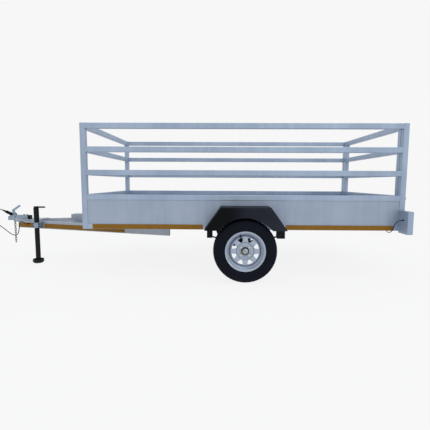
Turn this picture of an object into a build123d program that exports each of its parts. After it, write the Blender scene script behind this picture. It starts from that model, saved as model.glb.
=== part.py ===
from build123d import *
import math
import os

# Single-axle livestock trailer, in millimetres. Working axes: X runs along the trailer with the
# coupler at -X, Y across it with the left side at -Y, Z up from the ground. The body is centred
# on X = 0 while it is modelled, and ORIGIN_SHIFT moves everything at the end, so that the
# origin is below the middle of the whole trailer.

# ---- driving dimensions -------------------------------------------------------------------
BODY_LENGTH = 3000.0
BODY_WIDTH = 1500.0
CHASSIS_BOTTOM = 460.0
PANEL_RAIL_TOP = 785.0
LOWER_RAIL_TOP = 1013.0
UPPER_RAIL_TOP = 1226.0
SIDE_TOP = 1440.0
TUBE = 50.0
TUBE_WALL = 2.0
TUBE_CORNER = 4.0
SHEET = 2.0
PANEL_SET_BACK = 6.0
CROSS_MEMBER_COUNT = 5
SEAT_GAP = 0.3
RUNNING_CLEARANCE = 0.08
TAPE_THICKNESS = 0.5
TAPE_WIDTH = 46.0

# drawbar
NOSE_REACH = 1010.0
NOSE_HALF_WIDTH = 85.0
ARM_TAIL_REACH = 800.0
ARM_TAIL_HALF_WIDTH = 623.0
ARM_HEIGHT = 82.0
ARM_WIDTH = 40.0
ARM_WALL = 3.0
BRACE_X_FROM_FRONT = 350.0
NOSE_PLATE_THICKNESS = 6.0
NOSE_PLATE_LENGTH = 230.0
CARRIER_LENGTH = 250.0
CARRIER_WIDTH = 120.0
CARRIER_HEIGHT = 70.0
CARRIER_HOLE_RADIUS = 6.5
CARRIER_HOLE_SPACING_X = 180.0
CARRIER_HOLE_SPACING_Y = 70.0

# coupler
HEAD_RADIUS = 38.0
HEAD_HEIGHT = 43.0
SHANK_LENGTH = 202.0
SHANK_WIDTH = 56.0
SHANK_HEIGHT = 46.0
SHANK_WALL = 5.0
HEAD_REACH = 1142.0
BALL_RADIUS = 25.3
LEVER_PIN_RADIUS = 5.0
LEVER_HALF_THICKNESS = 9.0
LEVER_WIDTH = 24.0

# plug and its parking socket
PLUG_TILT = 24.5
PLUG_RADIUS = 17.0
PLUG_LENGTH = 115.0
PLUG_TAIL_RADIUS = 6.5
PLUG_CABLE_DIAMETER = 8.5
LIGHT_CABLE_DIAMETER = 7.0

# safety chain
CHAIN_WIRE = 7.0
CHAIN_PITCH = 28.0
CHAIN_INNER_WIDTH = 10.0
CHAIN_LINKS = 9
CHAIN_LUG_THICKNESS = 6.6

# jack stand
JACK_X_AHEAD = 736.0
JACK_Y = -207.0
JACK_RADIUS = 25.0
JACK_WALL = 3.0
JACK_TOP = 612.0
JACK_TUBE_BOTTOM = 50.0
FOOT_RADIUS = 57.0
FOOT_HEIGHT = 42.0
FOOT_WALL = 5.0
SCREW_RADIUS = 8.0
CRANK_REACH = 104.0
CRANK_HEIGHT = 18.0

# axle, springs and wheels
AXLE_X = 20.0
TYRE_RADIUS = 289.0
TYRE_WIDTH = 157.0
WHEEL_Y = 860.0
AXLE_BEAM = 45.0
SPRING_Y = 725.0
SPRING_WIDTH = 45.0
LEAF_THICKNESS = 7.0
FRONT_EYE_REACH = 323.0
REAR_SLIPPER_REACH = 345.0
EYE_HEIGHT = 402.0
HANGER_THICKNESS = 5.0
HANGER_PIN_RADIUS = 7.0
UBOLT_RADIUS = 5.0
RIM_FLANGE_RADIUS = 182.0
BEAD_RADIUS = 165.0
DROP_CENTRE_RADIUS = 146.0
RIM_WIDTH = 127.0
RIM_THICKNESS = 3.5
DISC_FACE = 30.0
WINDOW_COUNT = 8
WINDOW_RADIUS = 104.0
WINDOW_BASE = 52.0
WINDOW_DEPTH = 38.0
STUD_COUNT = 4
STUD_PCD = 100.0
STUD_RADIUS = 6.0
HUB_RADIUS = 33.0
INNER_BEARING_RADIUS = 24.0
OUTER_BEARING_RADIUS = 21.0
SPINDLE_RADIUS = 15.0
SPINDLE_TIP_RADIUS = 10.0
CAP_RADIUS = 24.0

# mudguards
GUARD_TOP_LENGTH = 440.0
GUARD_BOTTOM_LENGTH = 734.0
GUARD_TOP = 685.0
GUARD_BOTTOM = 480.0
GUARD_OUTER_Y = 960.0
GUARD_THICKNESS = 3.0
GUARD_EDGE_RADIUS = 16.0
GUARD_ARCH_RADIUS = 303.0
GUARD_FLANGE = 26.0

# rear lights
LIGHT_DEPTH = 50.0
LIGHT_REACH = 150.0
LIGHT_BOTTOM = 445.0
LIGHT_HEIGHT = 205.0
LENS_THICKNESS = 10.0

# gate
GATE_GAP = 6.0
GATE_BOTTOM_GAP = 8.0
HINGE_HEIGHTS = (600.0, 975.0, 1320.0)
HINGE_RADIUS = 11.0
HINGE_PIN_RADIUS = 5.0
KNUCKLE_LENGTH = 38.0
LEAF_PLATE = 5.0
BOLT_RADIUS = 6.0
BOLT_LENGTH = 170.0
BOLT_CENTRE_OUT = 11.0
GRIP_REACH = 26.0
KNOB_RADIUS = 9.0

# ---- worked-out places --------------------------------------------------------------------
HALF_LENGTH = BODY_LENGTH / 2
HALF_WIDTH = BODY_WIDTH / 2
FRONT_X = -HALF_LENGTH
REAR_X = HALF_LENGTH
INNER_X = HALF_LENGTH - TUBE
INNER_Y = HALF_WIDTH - TUBE
CHASSIS_TOP = CHASSIS_BOTTOM + TUBE
FLOOR_TOP = CHASSIS_TOP + SHEET
RAIL_TOPS = (PANEL_RAIL_TOP, LOWER_RAIL_TOP, UPPER_RAIL_TOP, SIDE_TOP)
PANEL_RAIL_BOTTOM = PANEL_RAIL_TOP - TUBE
AXLE_Z = TYRE_RADIUS
NOSE_X = FRONT_X - NOSE_REACH
ARM_TAIL_X = FRONT_X + ARM_TAIL_REACH
ARM_BOTTOM = CHASSIS_BOTTOM - ARM_HEIGHT
ARM_SLOPE = (ARM_TAIL_HALF_WIDTH - NOSE_HALF_WIDTH) / (ARM_TAIL_X - NOSE_X)
ARM_ANGLE = math.degrees(math.atan(ARM_SLOPE))
HEAD_X = FRONT_X - HEAD_REACH
HEAD_BOTTOM = CHASSIS_BOTTOM - 5.0
SHANK_BOTTOM = CHASSIS_BOTTOM + NOSE_PLATE_THICKNESS
SHANK_TOP = SHANK_BOTTOM + SHANK_HEIGHT
SHANK_END_X = HEAD_X + SHANK_LENGTH
JACK_X = FRONT_X - JACK_X_AHEAD
FRONT_EYE_X = AXLE_X - FRONT_EYE_REACH
SLIPPER_X = AXLE_X + REAR_SLIPPER_REACH
PAD_TOP = AXLE_Z + AXLE_BEAM / 2 + 20.0
MAIN_LEAF_BOTTOM = PAD_TOP + 2 * (LEAF_THICKNESS + SEAT_GAP)
GATE_HALF_WIDTH = INNER_Y - GATE_GAP
GATE_BOTTOM = FLOOR_TOP + GATE_BOTTOM_GAP
HINGE_X = REAR_X + HINGE_RADIUS + 1.0
HINGE_Y = INNER_Y - GATE_GAP / 2
BOLT_Z = PANEL_RAIL_TOP - TUBE / 2
BOLT_X = REAR_X + BOLT_CENTRE_OUT
NOSE_TIP_X = HEAD_X - HEAD_RADIUS
TAIL_X = BOLT_X + GRIP_REACH + KNOB_RADIUS
ORIGIN_SHIFT = -(NOSE_TIP_X + TAIL_X) / 2
SIDES = (("left", -1), ("right", 1))


# ---- helpers ------------------------------------------------------------------------------
def block(x0, x1, y0, y1, z0, z1):
    centre = Pos((x0 + x1) / 2, (y0 + y1) / 2, (z0 + z1) / 2)
    return centre * Box(abs(x1 - x0), abs(y1 - y0), abs(z1 - z0))


def side_block(x0, x1, side, y0, y1, z0, z1):
    low, high = sorted((side * y0, side * y1))
    return block(x0, x1, low, high, z0, z1)


def bar(length, across=TUBE, tall=TUBE, wall=TUBE_WALL):
    outer = RectangleRounded(across, tall, TUBE_CORNER)
    inner = RectangleRounded(across - 2 * wall, tall - 2 * wall, TUBE_CORNER - wall / 2)
    return extrude(Plane.YZ * (outer - inner), amount=length)


def bar_x(x0, x1, y, z, **section):
    return Pos(x0, y, z) * bar(x1 - x0, **section)


def bar_y(y0, y1, x, z):
    return Pos(x, y0, z) * Rot(0, 0, 90) * bar(y1 - y0)


def bar_z(z0, z1, x, y):
    return Pos(x, y, z0) * Rot(0, -90, 0) * bar(z1 - z0)


def rod_x(x0, x1, y, z, radius):
    return Pos((x0 + x1) / 2, y, z) * Rot(0, 90, 0) * Cylinder(radius, abs(x1 - x0))


def rod_y(y0, y1, x, z, radius):
    return Pos(x, (y0 + y1) / 2, z) * Rot(90, 0, 0) * Cylinder(radius, abs(y1 - y0))


def rod_z(z0, z1, x, y, radius):
    return Pos(x, y, (z0 + z1) / 2) * Cylinder(radius, abs(z1 - z0))


def plate_xz(outline, y0, y1):
    """Stand a flat X-Z outline up and thicken it from y0 to y1."""
    return Pos(0, max(y0, y1), 0) * Rot(90, 0, 0) * extrude(outline, amount=abs(y1 - y0))


def turned(points):
    """Revolve (radius, height) points about Z."""
    return revolve(Plane.XZ * make_face(Polyline(*points, close=True)), Axis.Z, 360)


def hexagon(radius, height):
    return extrude(RegularPolygon(radius, 6), amount=height)


def save(name, *shapes):
    solids = []
    for shape in shapes:
        for solid in shape.solids():
            solids.append(Pos(ORIGIN_SHIFT, 0, 0) * solid)
    whole = solids[0] if len(solids) == 1 else Compound(solids)
    export_step(whole, f"parts/{name}.step")


def arm_outer_y(x):
    """Distance of the drawbar arm's outer face from the middle, at station x."""
    return NOSE_HALF_WIDTH + (x - NOSE_X) * ARM_SLOPE


def arm_inner_y(x):
    return arm_outer_y(x) - ARM_WIDTH / math.cos(math.radians(ARM_ANGLE))


# ---- body frame ---------------------------------------------------------------------------
def chassis_side_rails():
    height = CHASSIS_BOTTOM + TUBE / 2
    return [bar_x(-INNER_X, INNER_X, side * (HALF_WIDTH - TUBE / 2), height) for _, side in SIDES]


def cross_member_stations():
    ends = [FRONT_X + TUBE / 2, REAR_X - TUBE / 2]
    pitch = BODY_LENGTH / (CROSS_MEMBER_COUNT + 1)
    return ends + [FRONT_X + pitch * (i + 1) for i in range(CROSS_MEMBER_COUNT)]


def cross_members():
    height = CHASSIS_BOTTOM + TUBE / 2
    return [bar_y(-INNER_Y, INNER_Y, x, height) for x in cross_member_stations()]


def floor_sheet():
    edge_x = HALF_LENGTH - SHEET
    edge_y = HALF_WIDTH - PANEL_SET_BACK - 2 * SHEET
    sheet = block(-edge_x, edge_x, -edge_y, edge_y, CHASSIS_TOP, FLOOR_TOP)
    front_edge = FRONT_X + PANEL_SET_BACK + 2 * SHEET
    sheet -= block(FRONT_X, front_edge, -HALF_WIDTH, HALF_WIDTH, CHASSIS_TOP, FLOOR_TOP)
    for x_side in (-1, 1):
        for _, side in SIDES:
            notch_x = sorted((x_side * (INNER_X - 1.0), x_side * HALF_LENGTH))
            notch = side_block(*notch_x, side, INNER_Y - 1.0, HALF_WIDTH, CHASSIS_TOP, FLOOR_TOP)
            sheet -= notch
    return sheet


def corner_posts():
    posts = []
    for x in (-1, 1):
        for _, side in SIDES:
            middle = (x * (HALF_LENGTH - TUBE / 2), side * (HALF_WIDTH - TUBE / 2))
            posts.append(bar_z(CHASSIS_BOTTOM, SIDE_TOP - SHEET, *middle))
            cap = Pos(*middle, SIDE_TOP - SHEET) * extrude(
                RectangleRounded(TUBE, TUBE, TUBE_CORNER), amount=SHEET)
            posts[-1] = posts[-1] + cap
    return posts


def side_rails(side):
    y = side * (HALF_WIDTH - TUBE / 2)
    return [bar_x(-INNER_X, INNER_X, y, top - TUBE / 2) for top in RAIL_TOPS]


def front_rails():
    return [bar_y(-INNER_Y, INNER_Y, FRONT_X + TUBE / 2, top - TUBE / 2) for top in RAIL_TOPS]


def side_panels():
    outer = HALF_WIDTH - PANEL_SET_BACK
    panels = []
    for _, side in SIDES:
        panels.append(side_block(-INNER_X, INNER_X, side, outer - SHEET, outer,
                                 CHASSIS_TOP, PANEL_RAIL_BOTTOM))
    front = FRONT_X + PANEL_SET_BACK
    panels.append(block(front, front + SHEET, -INNER_Y, INNER_Y, CHASSIS_TOP, PANEL_RAIL_BOTTOM))
    return panels


def body_tape_strips():
    margin = 45.0
    guard_front = AXLE_X - GUARD_BOTTOM_LENGTH / 2 - 18.0
    guard_rear = AXLE_X + GUARD_BOTTOM_LENGTH / 2 + 18.0
    middle = CHASSIS_BOTTOM + TUBE / 2
    strips = []
    for _, side in SIDES:
        for x0, x1 in ((-INNER_X + margin, guard_front), (guard_rear, INNER_X - margin)):
            strips.append(side_block(x0, x1, side, HALF_WIDTH, HALF_WIDTH + TAPE_THICKNESS,
                                     middle - TAPE_WIDTH / 2, middle + TAPE_WIDTH / 2))
    return strips


# ---- drawbar ------------------------------------------------------------------------------
def drawbar_arm(side):
    length = (ARM_TAIL_X - NOSE_X) / math.cos(math.radians(ARM_ANGLE))
    overrun = 60.0
    arm = bar(length + 2 * overrun, across=ARM_WIDTH, tall=ARM_HEIGHT, wall=ARM_WALL)
    arm = Pos(-overrun, -side * ARM_WIDTH / 2, ARM_BOTTOM + ARM_HEIGHT / 2) * arm
    arm = Pos(NOSE_X, side * NOSE_HALF_WIDTH, 0) * Rot(0, 0, side * ARM_ANGLE) * arm
    far = HALF_WIDTH * 2
    arm -= block(NOSE_X - far, NOSE_X, -far, far, 0, SIDE_TOP)
    arm -= block(ARM_TAIL_X, ARM_TAIL_X + far, -far, far, 0, SIDE_TOP)
    return arm


def drawbar_brace():
    """A flat-topped cross channel between the arms, cut to their slope."""
    x0 = FRONT_X - BRACE_X_FROM_FRONT - ARM_WIDTH / 2
    x1 = x0 + ARM_WIDTH

    def outline(inset):
        xa, xb = x0 + inset, x1 - inset
        return make_face(Polyline((xa, -arm_inner_y(xa)), (xb, -arm_inner_y(xb)),
                                  (xb, arm_inner_y(xb)), (xa, arm_inner_y(xa)), close=True))

    brace = Pos(0, 0, ARM_BOTTOM + 4.0) * extrude(outline(0), amount=ARM_HEIGHT - 4.0)
    hollow = extrude(outline(ARM_WALL), amount=ARM_HEIGHT - 2 * ARM_WALL - 4.0)
    return brace - Pos(0, 0, ARM_BOTTOM + 4.0 + ARM_WALL) * hollow


def nose_plate():
    """Top plate, front plate and chain lug that tie the arms together under the coupler."""
    x1 = NOSE_X + NOSE_PLATE_LENGTH
    outline = make_face(Polyline((NOSE_X, -arm_outer_y(NOSE_X)), (x1, -arm_outer_y(x1)),
                                 (x1, arm_outer_y(x1)), (NOSE_X, arm_outer_y(NOSE_X)), close=True))
    plate = Pos(0, 0, CHASSIS_BOTTOM) * extrude(outline, amount=NOSE_PLATE_THICKNESS)
    tongue = block(JAW_PIN_X + 20.0, NOSE_X, -SHANK_WIDTH / 2, SHANK_WIDTH / 2,
                   CHASSIS_BOTTOM, SHANK_BOTTOM)
    front = block(NOSE_X - NOSE_PLATE_THICKNESS, NOSE_X, -NOSE_HALF_WIDTH, NOSE_HALF_WIDTH,
                  ARM_BOTTOM, SHANK_BOTTOM)
    lug_x, lug_z = chain_hang_point()
    half = CHAIN_LUG_THICKNESS / 2
    lug = block(lug_x - 15.0, NOSE_X, -half, half, lug_z - 13.0, lug_z + 12.0)
    lug -= rod_y(-5.0, 5.0, lug_x, lug_z, CHAIN_WIRE)
    plate = plate + tongue + front + lug
    for x in coupler_bolt_stations():
        plate -= rod_z(CHASSIS_BOTTOM, SHANK_BOTTOM, x, 0, 6.3)
    return plate


def coupler_bolt_stations():
    return (SHANK_END_X - 20.0, SHANK_END_X - 55.0)


def chain_hang_point():
    return HEAD_X + 37.0, CHASSIS_BOTTOM - 14.0


def spare_carrier():
    """Folded channel on the brace, with four holes for a spare-wheel post."""
    x0 = FRONT_X - BRACE_X_FROM_FRONT - 65.0
    x1 = x0 + CARRIER_LENGTH
    z0 = CHASSIS_BOTTOM
    wall = 4.0
    half = CARRIER_WIDTH / 2
    body = block(x0, x1, -half, half, z0, z0 + CARRIER_HEIGHT)
    body -= block(x0 + wall, x1 - wall, -half + wall, half - wall, z0, z0 + CARRIER_HEIGHT - wall)
    middle = (x0 + x1) / 2
    for x_side in (-1, 1):
        for y_side in (-1, 1):
            x = middle + x_side * CARRIER_HOLE_SPACING_X / 2
            y = y_side * CARRIER_HOLE_SPACING_Y / 2
            body -= rod_z(z0 + CARRIER_HEIGHT - 10, z0 + CARRIER_HEIGHT + 1, x, y,
                          CARRIER_HOLE_RADIUS)
    gusset = make_face(Polyline((x0, z0), (x0, z0 + 22.0), (x0 - 95.0, z0 + 6.0),
                                (x0 - 95.0, z0), close=True))
    return body + plate_xz(gusset, -4.0, 4.0)


def on_arm(x, side):
    """Placement on the arm's outer face: local X along the arm, local Y pointing outward."""
    turn = Rot(0, 0, ARM_ANGLE) if side > 0 else Rot(0, 0, 180 - ARM_ANGLE)
    return Pos(x, side * arm_outer_y(x), 0) * turn


def drawbar_tape_strips():
    clear = 75.0
    x_end = FRONT_X + 320.0
    base = ARM_BOTTOM + 8.0
    strips = []
    for _, side in SIDES:
        for x0, x1 in ((NOSE_X + 12.0, JACK_X - clear), (JACK_X + clear, x_end)):
            length = (x1 - x0) / math.cos(math.radians(ARM_ANGLE))
            middle = (x0 + x1) / 2
            strip = on_arm(middle, side) * block(
                -length / 2, length / 2, 0, TAPE_THICKNESS, base, base + TAPE_WIDTH + 4.0)
            strips.append(strip - grommet(SEAT_GAP))
    return strips


# ---- coupler ------------------------------------------------------------------------------
LEVER_PIN_X = HEAD_X + 39.0
LEVER_PIN_Z = SHANK_TOP + 12.0
JAW_PIN_X = HEAD_X + 57.0
JAW_PIN_Z = SHANK_TOP - 17.0


def coupler_body():
    head = rod_z(HEAD_BOTTOM, HEAD_BOTTOM + HEAD_HEIGHT, HEAD_X, 0, HEAD_RADIUS)
    head = fillet(head.edges().group_by(Axis.Z)[-1], 10.0)
    shank = block(HEAD_X + 12.0, SHANK_END_X, -SHANK_WIDTH / 2, SHANK_WIDTH / 2,
                  SHANK_BOTTOM, SHANK_TOP)
    shank = fillet(shank.edges().filter_by(Axis.X).group_by(Axis.Z)[-1], 9.0)
    body = head + shank
    body -= block(HEAD_X + 20.0, SHANK_END_X - SHANK_WALL, -SHANK_WIDTH / 2 + SHANK_WALL,
                  SHANK_WIDTH / 2 - SHANK_WALL, HEAD_BOTTOM, SHANK_TOP - SHANK_WALL)
    ball_z = HEAD_BOTTOM + 15.0
    body -= Pos(HEAD_X, 0, ball_z) * Sphere(BALL_RADIUS)
    body -= rod_z(HEAD_BOTTOM - 1, ball_z, HEAD_X, 0, BALL_RADIUS)
    for y_side in (-1, 1):
        y0 = y_side * (LEVER_WIDTH / 2 + 1.5)
        y1 = y_side * (LEVER_WIDTH / 2 + 7.0)
        ear = block(LEVER_PIN_X - 12.0, LEVER_PIN_X + 14.0, min(y0, y1), max(y0, y1),
                    SHANK_TOP - 6.0, LEVER_PIN_Z)
        body += ear + rod_y(y0, y1, LEVER_PIN_X, LEVER_PIN_Z, 11.0)
    body -= rod_y(-SHANK_WIDTH, SHANK_WIDTH, LEVER_PIN_X, LEVER_PIN_Z, LEVER_PIN_RADIUS)
    body -= rod_y(-SHANK_WIDTH, SHANK_WIDTH, JAW_PIN_X, JAW_PIN_Z, LEVER_PIN_RADIUS)
    for x in coupler_bolt_stations():
        body -= rod_z(HEAD_BOTTOM, SHANK_TOP + 1, x, 0, 6.3)
    return body


def coupler_pins():
    reach = LEVER_WIDTH / 2 + 8.5
    pins = [rod_y(-reach, reach, LEVER_PIN_X, LEVER_PIN_Z, LEVER_PIN_RADIUS)]
    half = SHANK_WIDTH / 2 + 2.0
    pins.append(rod_y(-half, half, JAW_PIN_X, JAW_PIN_Z, LEVER_PIN_RADIUS))
    return pins


def capsule_xz(start, end, radius, y0, y1):
    """A flat bar with round ends, from start to end in the X-Z plane."""
    run_x, run_z = end[0] - start[0], end[1] - start[1]
    length = math.hypot(run_x, run_z)
    angle = math.degrees(math.atan2(run_z, run_x))
    flat = block(0, length, y0, y1, -radius, radius)
    flat = Pos(start[0], 0, start[1]) * Rot(0, -angle, 0) * flat
    return flat + rod_y(y0, y1, *start, radius) + rod_y(y0, y1, *end, radius)


def coupler_lever():
    half = LEVER_WIDTH / 2
    pin = (LEVER_PIN_X, LEVER_PIN_Z)
    elbow = (LEVER_PIN_X - 19.0, LEVER_PIN_Z + 41.0)
    tip = (LEVER_PIN_X + 57.0, LEVER_PIN_Z + 94.0)
    lever = capsule_xz(pin, elbow, LEVER_HALF_THICKNESS, -half, half)
    lever += capsule_xz(elbow, tip, LEVER_HALF_THICKNESS, -half, half)
    lever -= rod_y(-half, half, *pin, LEVER_PIN_RADIUS + RUNNING_CLEARANCE)
    return lever


def coupler_jaw():
    half = LEVER_WIDTH / 2
    pin = (JAW_PIN_X, JAW_PIN_Z)
    toe = (JAW_PIN_X - 21.0, JAW_PIN_Z - 26.0)
    jaw = capsule_xz(pin, toe, 8.0, -half, half)
    jaw -= rod_y(-half, half, *pin, LEVER_PIN_RADIUS + RUNNING_CLEARANCE)
    return jaw


def drawbar_bolts():
    """Two coupler bolts with nuts below, and the four bolts of the jack clamp."""
    bolts = []
    for x in coupler_bolt_stations():
        z0 = CHASSIS_BOTTOM - 18.0
        bolt = rod_z(z0, SHANK_TOP, x, 0, 6.0)
        bolt += Pos(x, 0, SHANK_TOP) * hexagon(10.5, 7.5)
        bolt += Pos(x, 0, CHASSIS_BOTTOM - 10.0) * hexagon(10.5, 10.0)
        bolts.append(bolt)
    for x in (-CLAMP_BOLT_X, CLAMP_BOLT_X):
        for z in CLAMP_BOLT_HEIGHTS:
            bolt = rod_y(-CLAMP_STRAP - 1.0, 16.0, x, z, 5.0)
            head = Pos(x, -CLAMP_STRAP, z) * Rot(90, 0, 0) * hexagon(9.0, 7.0)
            bolts.append(on_jack() * (bolt + head))
    return bolts


# ---- plug, parking socket and cables ------------------------------------------------------
PLUG_SEAT = (HEAD_X, 0.0, HEAD_BOTTOM + HEAD_HEIGHT + 23.0)
PLUG_PLACE = Pos(*PLUG_SEAT) * Rot(0, PLUG_TILT - 90.0, 0)


def plug_holder():
    socket = turned([(0, -8), (20, -8), (20, 16), (PLUG_SOCKET_BORE, 16), (PLUG_SOCKET_BORE, 0),
                     (0, 0)])
    holder = PLUG_PLACE * socket
    head_top = HEAD_BOTTOM + HEAD_HEIGHT
    foot = block(HEAD_X - 12.0, HEAD_X + 8.0, -9.0, 9.0, head_top, head_top + 20.0)
    cup = PLUG_PLACE * turned([(0, -6), (19, -6), (19, 40), (0, 40)])
    return holder + (foot - cup)


PLUG_SOCKET_BORE = 14.3


def plug():
    tail = PLUG_LENGTH
    grip = 62.0
    points = [(0, SEAT_GAP), (14, SEAT_GAP), (14, 17), (PLUG_RADIUS, 17), (PLUG_RADIUS, grip),
              (12, grip + 12), (PLUG_TAIL_RADIUS, tail), (0, tail)]
    body = turned(points)
    rib = block(12.0, PLUG_RADIUS + 4.0, -4.0, 4.0, 40.0, 58.0)
    return PLUG_PLACE * (body + rib)


def tail_point(extra=0.0):
    """A point on the plug's axis, extra millimetres past its tail."""
    reach = PLUG_LENGTH + extra
    lean = math.radians(PLUG_TILT)
    return (PLUG_SEAT[0] - reach * math.cos(lean), 0.0, PLUG_SEAT[2] + reach * math.sin(lean))


GROMMET_X = FRONT_X - 866.0
GROMMET_Z = CHASSIS_BOTTOM - 33.0
GROMMET_PROUD = 9.0

# the free lead, from the grommet on the left arm to the tail of the plug
PLUG_CABLE_POINTS = [
    (-2402, -181, 451), (-2434, -172, 460), (-2460, -155, 437), (-2476, -137, 398),
    (-2490, -122, 352), (-2510, -110, 307), (-2548, -99, 285), (-2598, -87, 295),
    (-2652, -76, 330), (-2712, -65, 370), (-2772, -52, 408), (-2822, -34, 456),
    (-2844, -14, 512), (-2828, -2, 564)]


def grommet(margin=0.0):
    return on_arm(GROMMET_X, -1) * rod_y(0.0, GROMMET_PROUD, 0, GROMMET_Z, 8.0 + margin)


def cable_tube(points, diameter, label):
    """Straight runs joined by tangent arcs, as large as the two runs beside each corner allow."""
    vectors = [Vector(*point) for point in points]
    radii = []
    for before, corner, after in zip(vectors, vectors[1:], vectors[2:]):
        run_in = corner - before
        run_out = after - corner
        half_turn = math.radians(run_in.get_angle(run_out)) / 2
        shorter = min(run_in.length, run_out.length)
        radii.append(0.45 * shorter / math.tan(half_turn))
    path = FilletPolyline(*vectors, radius=radii)
    section = Plane(origin=path @ 0, z_dir=path % 0) * Circle(diameter / 2)
    tube = sweep(section, path=path)
    print(label, "length", round(path.length, 1), "tightest radius", round(min(radii), 1),
          "volume ratio", round(tube.volume / (path.length * math.pi * diameter ** 2 / 4), 4))
    return tube


def grommet_mouth(ahead=0.0):
    """The middle of the grommet's face, or a point straight out from it."""
    mouth = on_arm(GROMMET_X, -1) * Pos(0, GROMMET_PROUD + ahead, GROMMET_Z)
    return tuple(mouth.position)


def plug_cable():
    points = [grommet_mouth(), grommet_mouth(35.0)] + PLUG_CABLE_POINTS
    points += [tail_point(38.0), tail_point()]
    return cable_tube(points, PLUG_CABLE_DIAMETER, "plug_cable")


JUNCTION_X = REAR_X - 115.0
JUNCTION_Y = INNER_Y - 50.0
JUNCTION_BOTTOM = CHASSIS_TOP - 26.0


def junction_boxes():
    return [side_block(JUNCTION_X - 30.0, JUNCTION_X + 30.0, side, JUNCTION_Y - 20.0,
                       JUNCTION_Y + 20.0, JUNCTION_BOTTOM, CHASSIS_TOP) for _, side in SIDES]


def light_cable(side):
    """From the front face of a light box, under the chassis rail, up into the junction box."""
    x0 = REAR_X - LIGHT_DEPTH
    y0 = HALF_WIDTH
    low = CHASSIS_BOTTOM - LIGHT_CABLE_DIAMETER / 2
    mouth = LIGHT_BOTTOM + 123.0
    points = [
        (x0, y0 + 75, mouth), (x0 - 26, y0 + 75, mouth), (x0 - 52, y0 + 62, mouth - 17),
        (x0 - 62, y0 + 45, mouth - 47), (x0 - 64, y0 + 30, mouth - 81), (x0 - 64, y0 + 8, low),
        (x0 - 64, y0 - 26, low - 14), (x0 - 64, y0 - 58, low - 20),
        (JUNCTION_X + 0.5, y0 - 86, low - 14), (JUNCTION_X, JUNCTION_Y, low + 5),
        (JUNCTION_X, JUNCTION_Y, JUNCTION_BOTTOM)]
    placed = [(x, side * y, z) for x, y, z in points]
    return cable_tube(placed, LIGHT_CABLE_DIAMETER, "light_cable")


# ---- safety chain -------------------------------------------------------------------------
def chain_link():
    """One upright link in the X-Z plane, centred on the origin."""
    bend = (CHAIN_INNER_WIDTH + CHAIN_WIRE) / 2
    straight = (CHAIN_PITCH - CHAIN_INNER_WIDTH) / 2
    top = (0, straight + bend)
    bottom = (0, -straight - bend)
    right_arc = ThreePointArc(top, (bend * math.sin(0.785), straight + bend * math.cos(0.785)),
                              (bend, straight))
    right_low = ThreePointArc((bend, -straight),
                              (bend * math.sin(0.785), -straight - bend * math.cos(0.785)), bottom)
    half = Plane.XZ * (right_arc + Line((bend, straight), (bend, -straight)) + right_low)
    section = Plane(origin=(0, 0, straight + bend), z_dir=(1, 0, 0)) * Circle(CHAIN_WIRE / 2)
    right = sweep(section, path=half)
    return right + Rot(0, 0, 180) * right


def safety_chain():
    lug_x, lug_z = chain_hang_point()
    wire_drop = CHAIN_WIRE / 2 - 1.4
    first = lug_z - wire_drop - (CHAIN_PITCH + CHAIN_WIRE) / 2
    pitch = CHAIN_PITCH - SEAT_GAP
    link = chain_link()
    links = []
    for i in range(CHAIN_LINKS):
        turn = Rot(0, 0, 90) if i % 2 == 0 else Rot(0, 0, 0)
        links.append(Pos(lug_x, 0, first - i * pitch) * turn * link)
    return links


# ---- jack stand ---------------------------------------------------------------------------
CLAMP_BOLT_X = 42.0
CLAMP_STRAP = 5.0
CLAMP_BOTTOM = ARM_BOTTOM + 14.0
CLAMP_TOP = CLAMP_BOTTOM + 58.0
CLAMP_BOLT_HEIGHTS = (CLAMP_BOTTOM + 15.0, CLAMP_TOP - 15.0)
ARM_TO_JACK = (-JACK_Y - arm_outer_y(JACK_X)) * math.cos(math.radians(ARM_ANGLE))


def on_jack():
    """Placement on the jack's axis: local X along the left arm, local +Y towards the arm."""
    return Pos(JACK_X, JACK_Y, 0) * Rot(0, 0, -ARM_ANGLE)


def jack_tube():
    tube = rod_z(JACK_TUBE_BOTTOM, JACK_TOP - 12.0, JACK_X, JACK_Y, JACK_RADIUS)
    bore = JACK_RADIUS - JACK_WALL
    tube -= rod_z(JACK_TUBE_BOTTOM, JACK_TOP - 12.0, JACK_X, JACK_Y, bore)
    cap = rod_z(JACK_TOP - 12.0, JACK_TOP, JACK_X, JACK_Y, JACK_RADIUS + 2.0)
    cap -= rod_z(JACK_TOP - 12.0, JACK_TOP, JACK_X, JACK_Y, SCREW_RADIUS + RUNNING_CLEARANCE)
    return tube + cap


def jack_clamp():
    """Inner half against the arm and an outer strap round the tube."""
    half = CLAMP_BOLT_X + 11.0
    bore = JACK_RADIUS + SEAT_GAP
    hollow = rod_z(CLAMP_BOTTOM, CLAMP_TOP, 0, 0, bore)
    inner = block(-half, half, 0, ARM_TO_JACK, CLAMP_BOTTOM, CLAMP_TOP) - hollow
    strap = rod_z(CLAMP_BOTTOM, CLAMP_TOP, 0, 0, bore + CLAMP_STRAP)
    strap &= block(-half, half, -half, -0.5, CLAMP_BOTTOM, CLAMP_TOP)
    strap += block(-half, half, -CLAMP_STRAP, -0.5, CLAMP_BOTTOM, CLAMP_TOP)
    strap -= hollow
    for x in (-CLAMP_BOLT_X, CLAMP_BOLT_X):
        for z in CLAMP_BOLT_HEIGHTS:
            hole = rod_y(-2 * CLAMP_STRAP, 16.5, x, z, 5.2)
            inner -= hole
            strap -= hole
    return [on_jack() * inner, on_jack() * strap]


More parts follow.
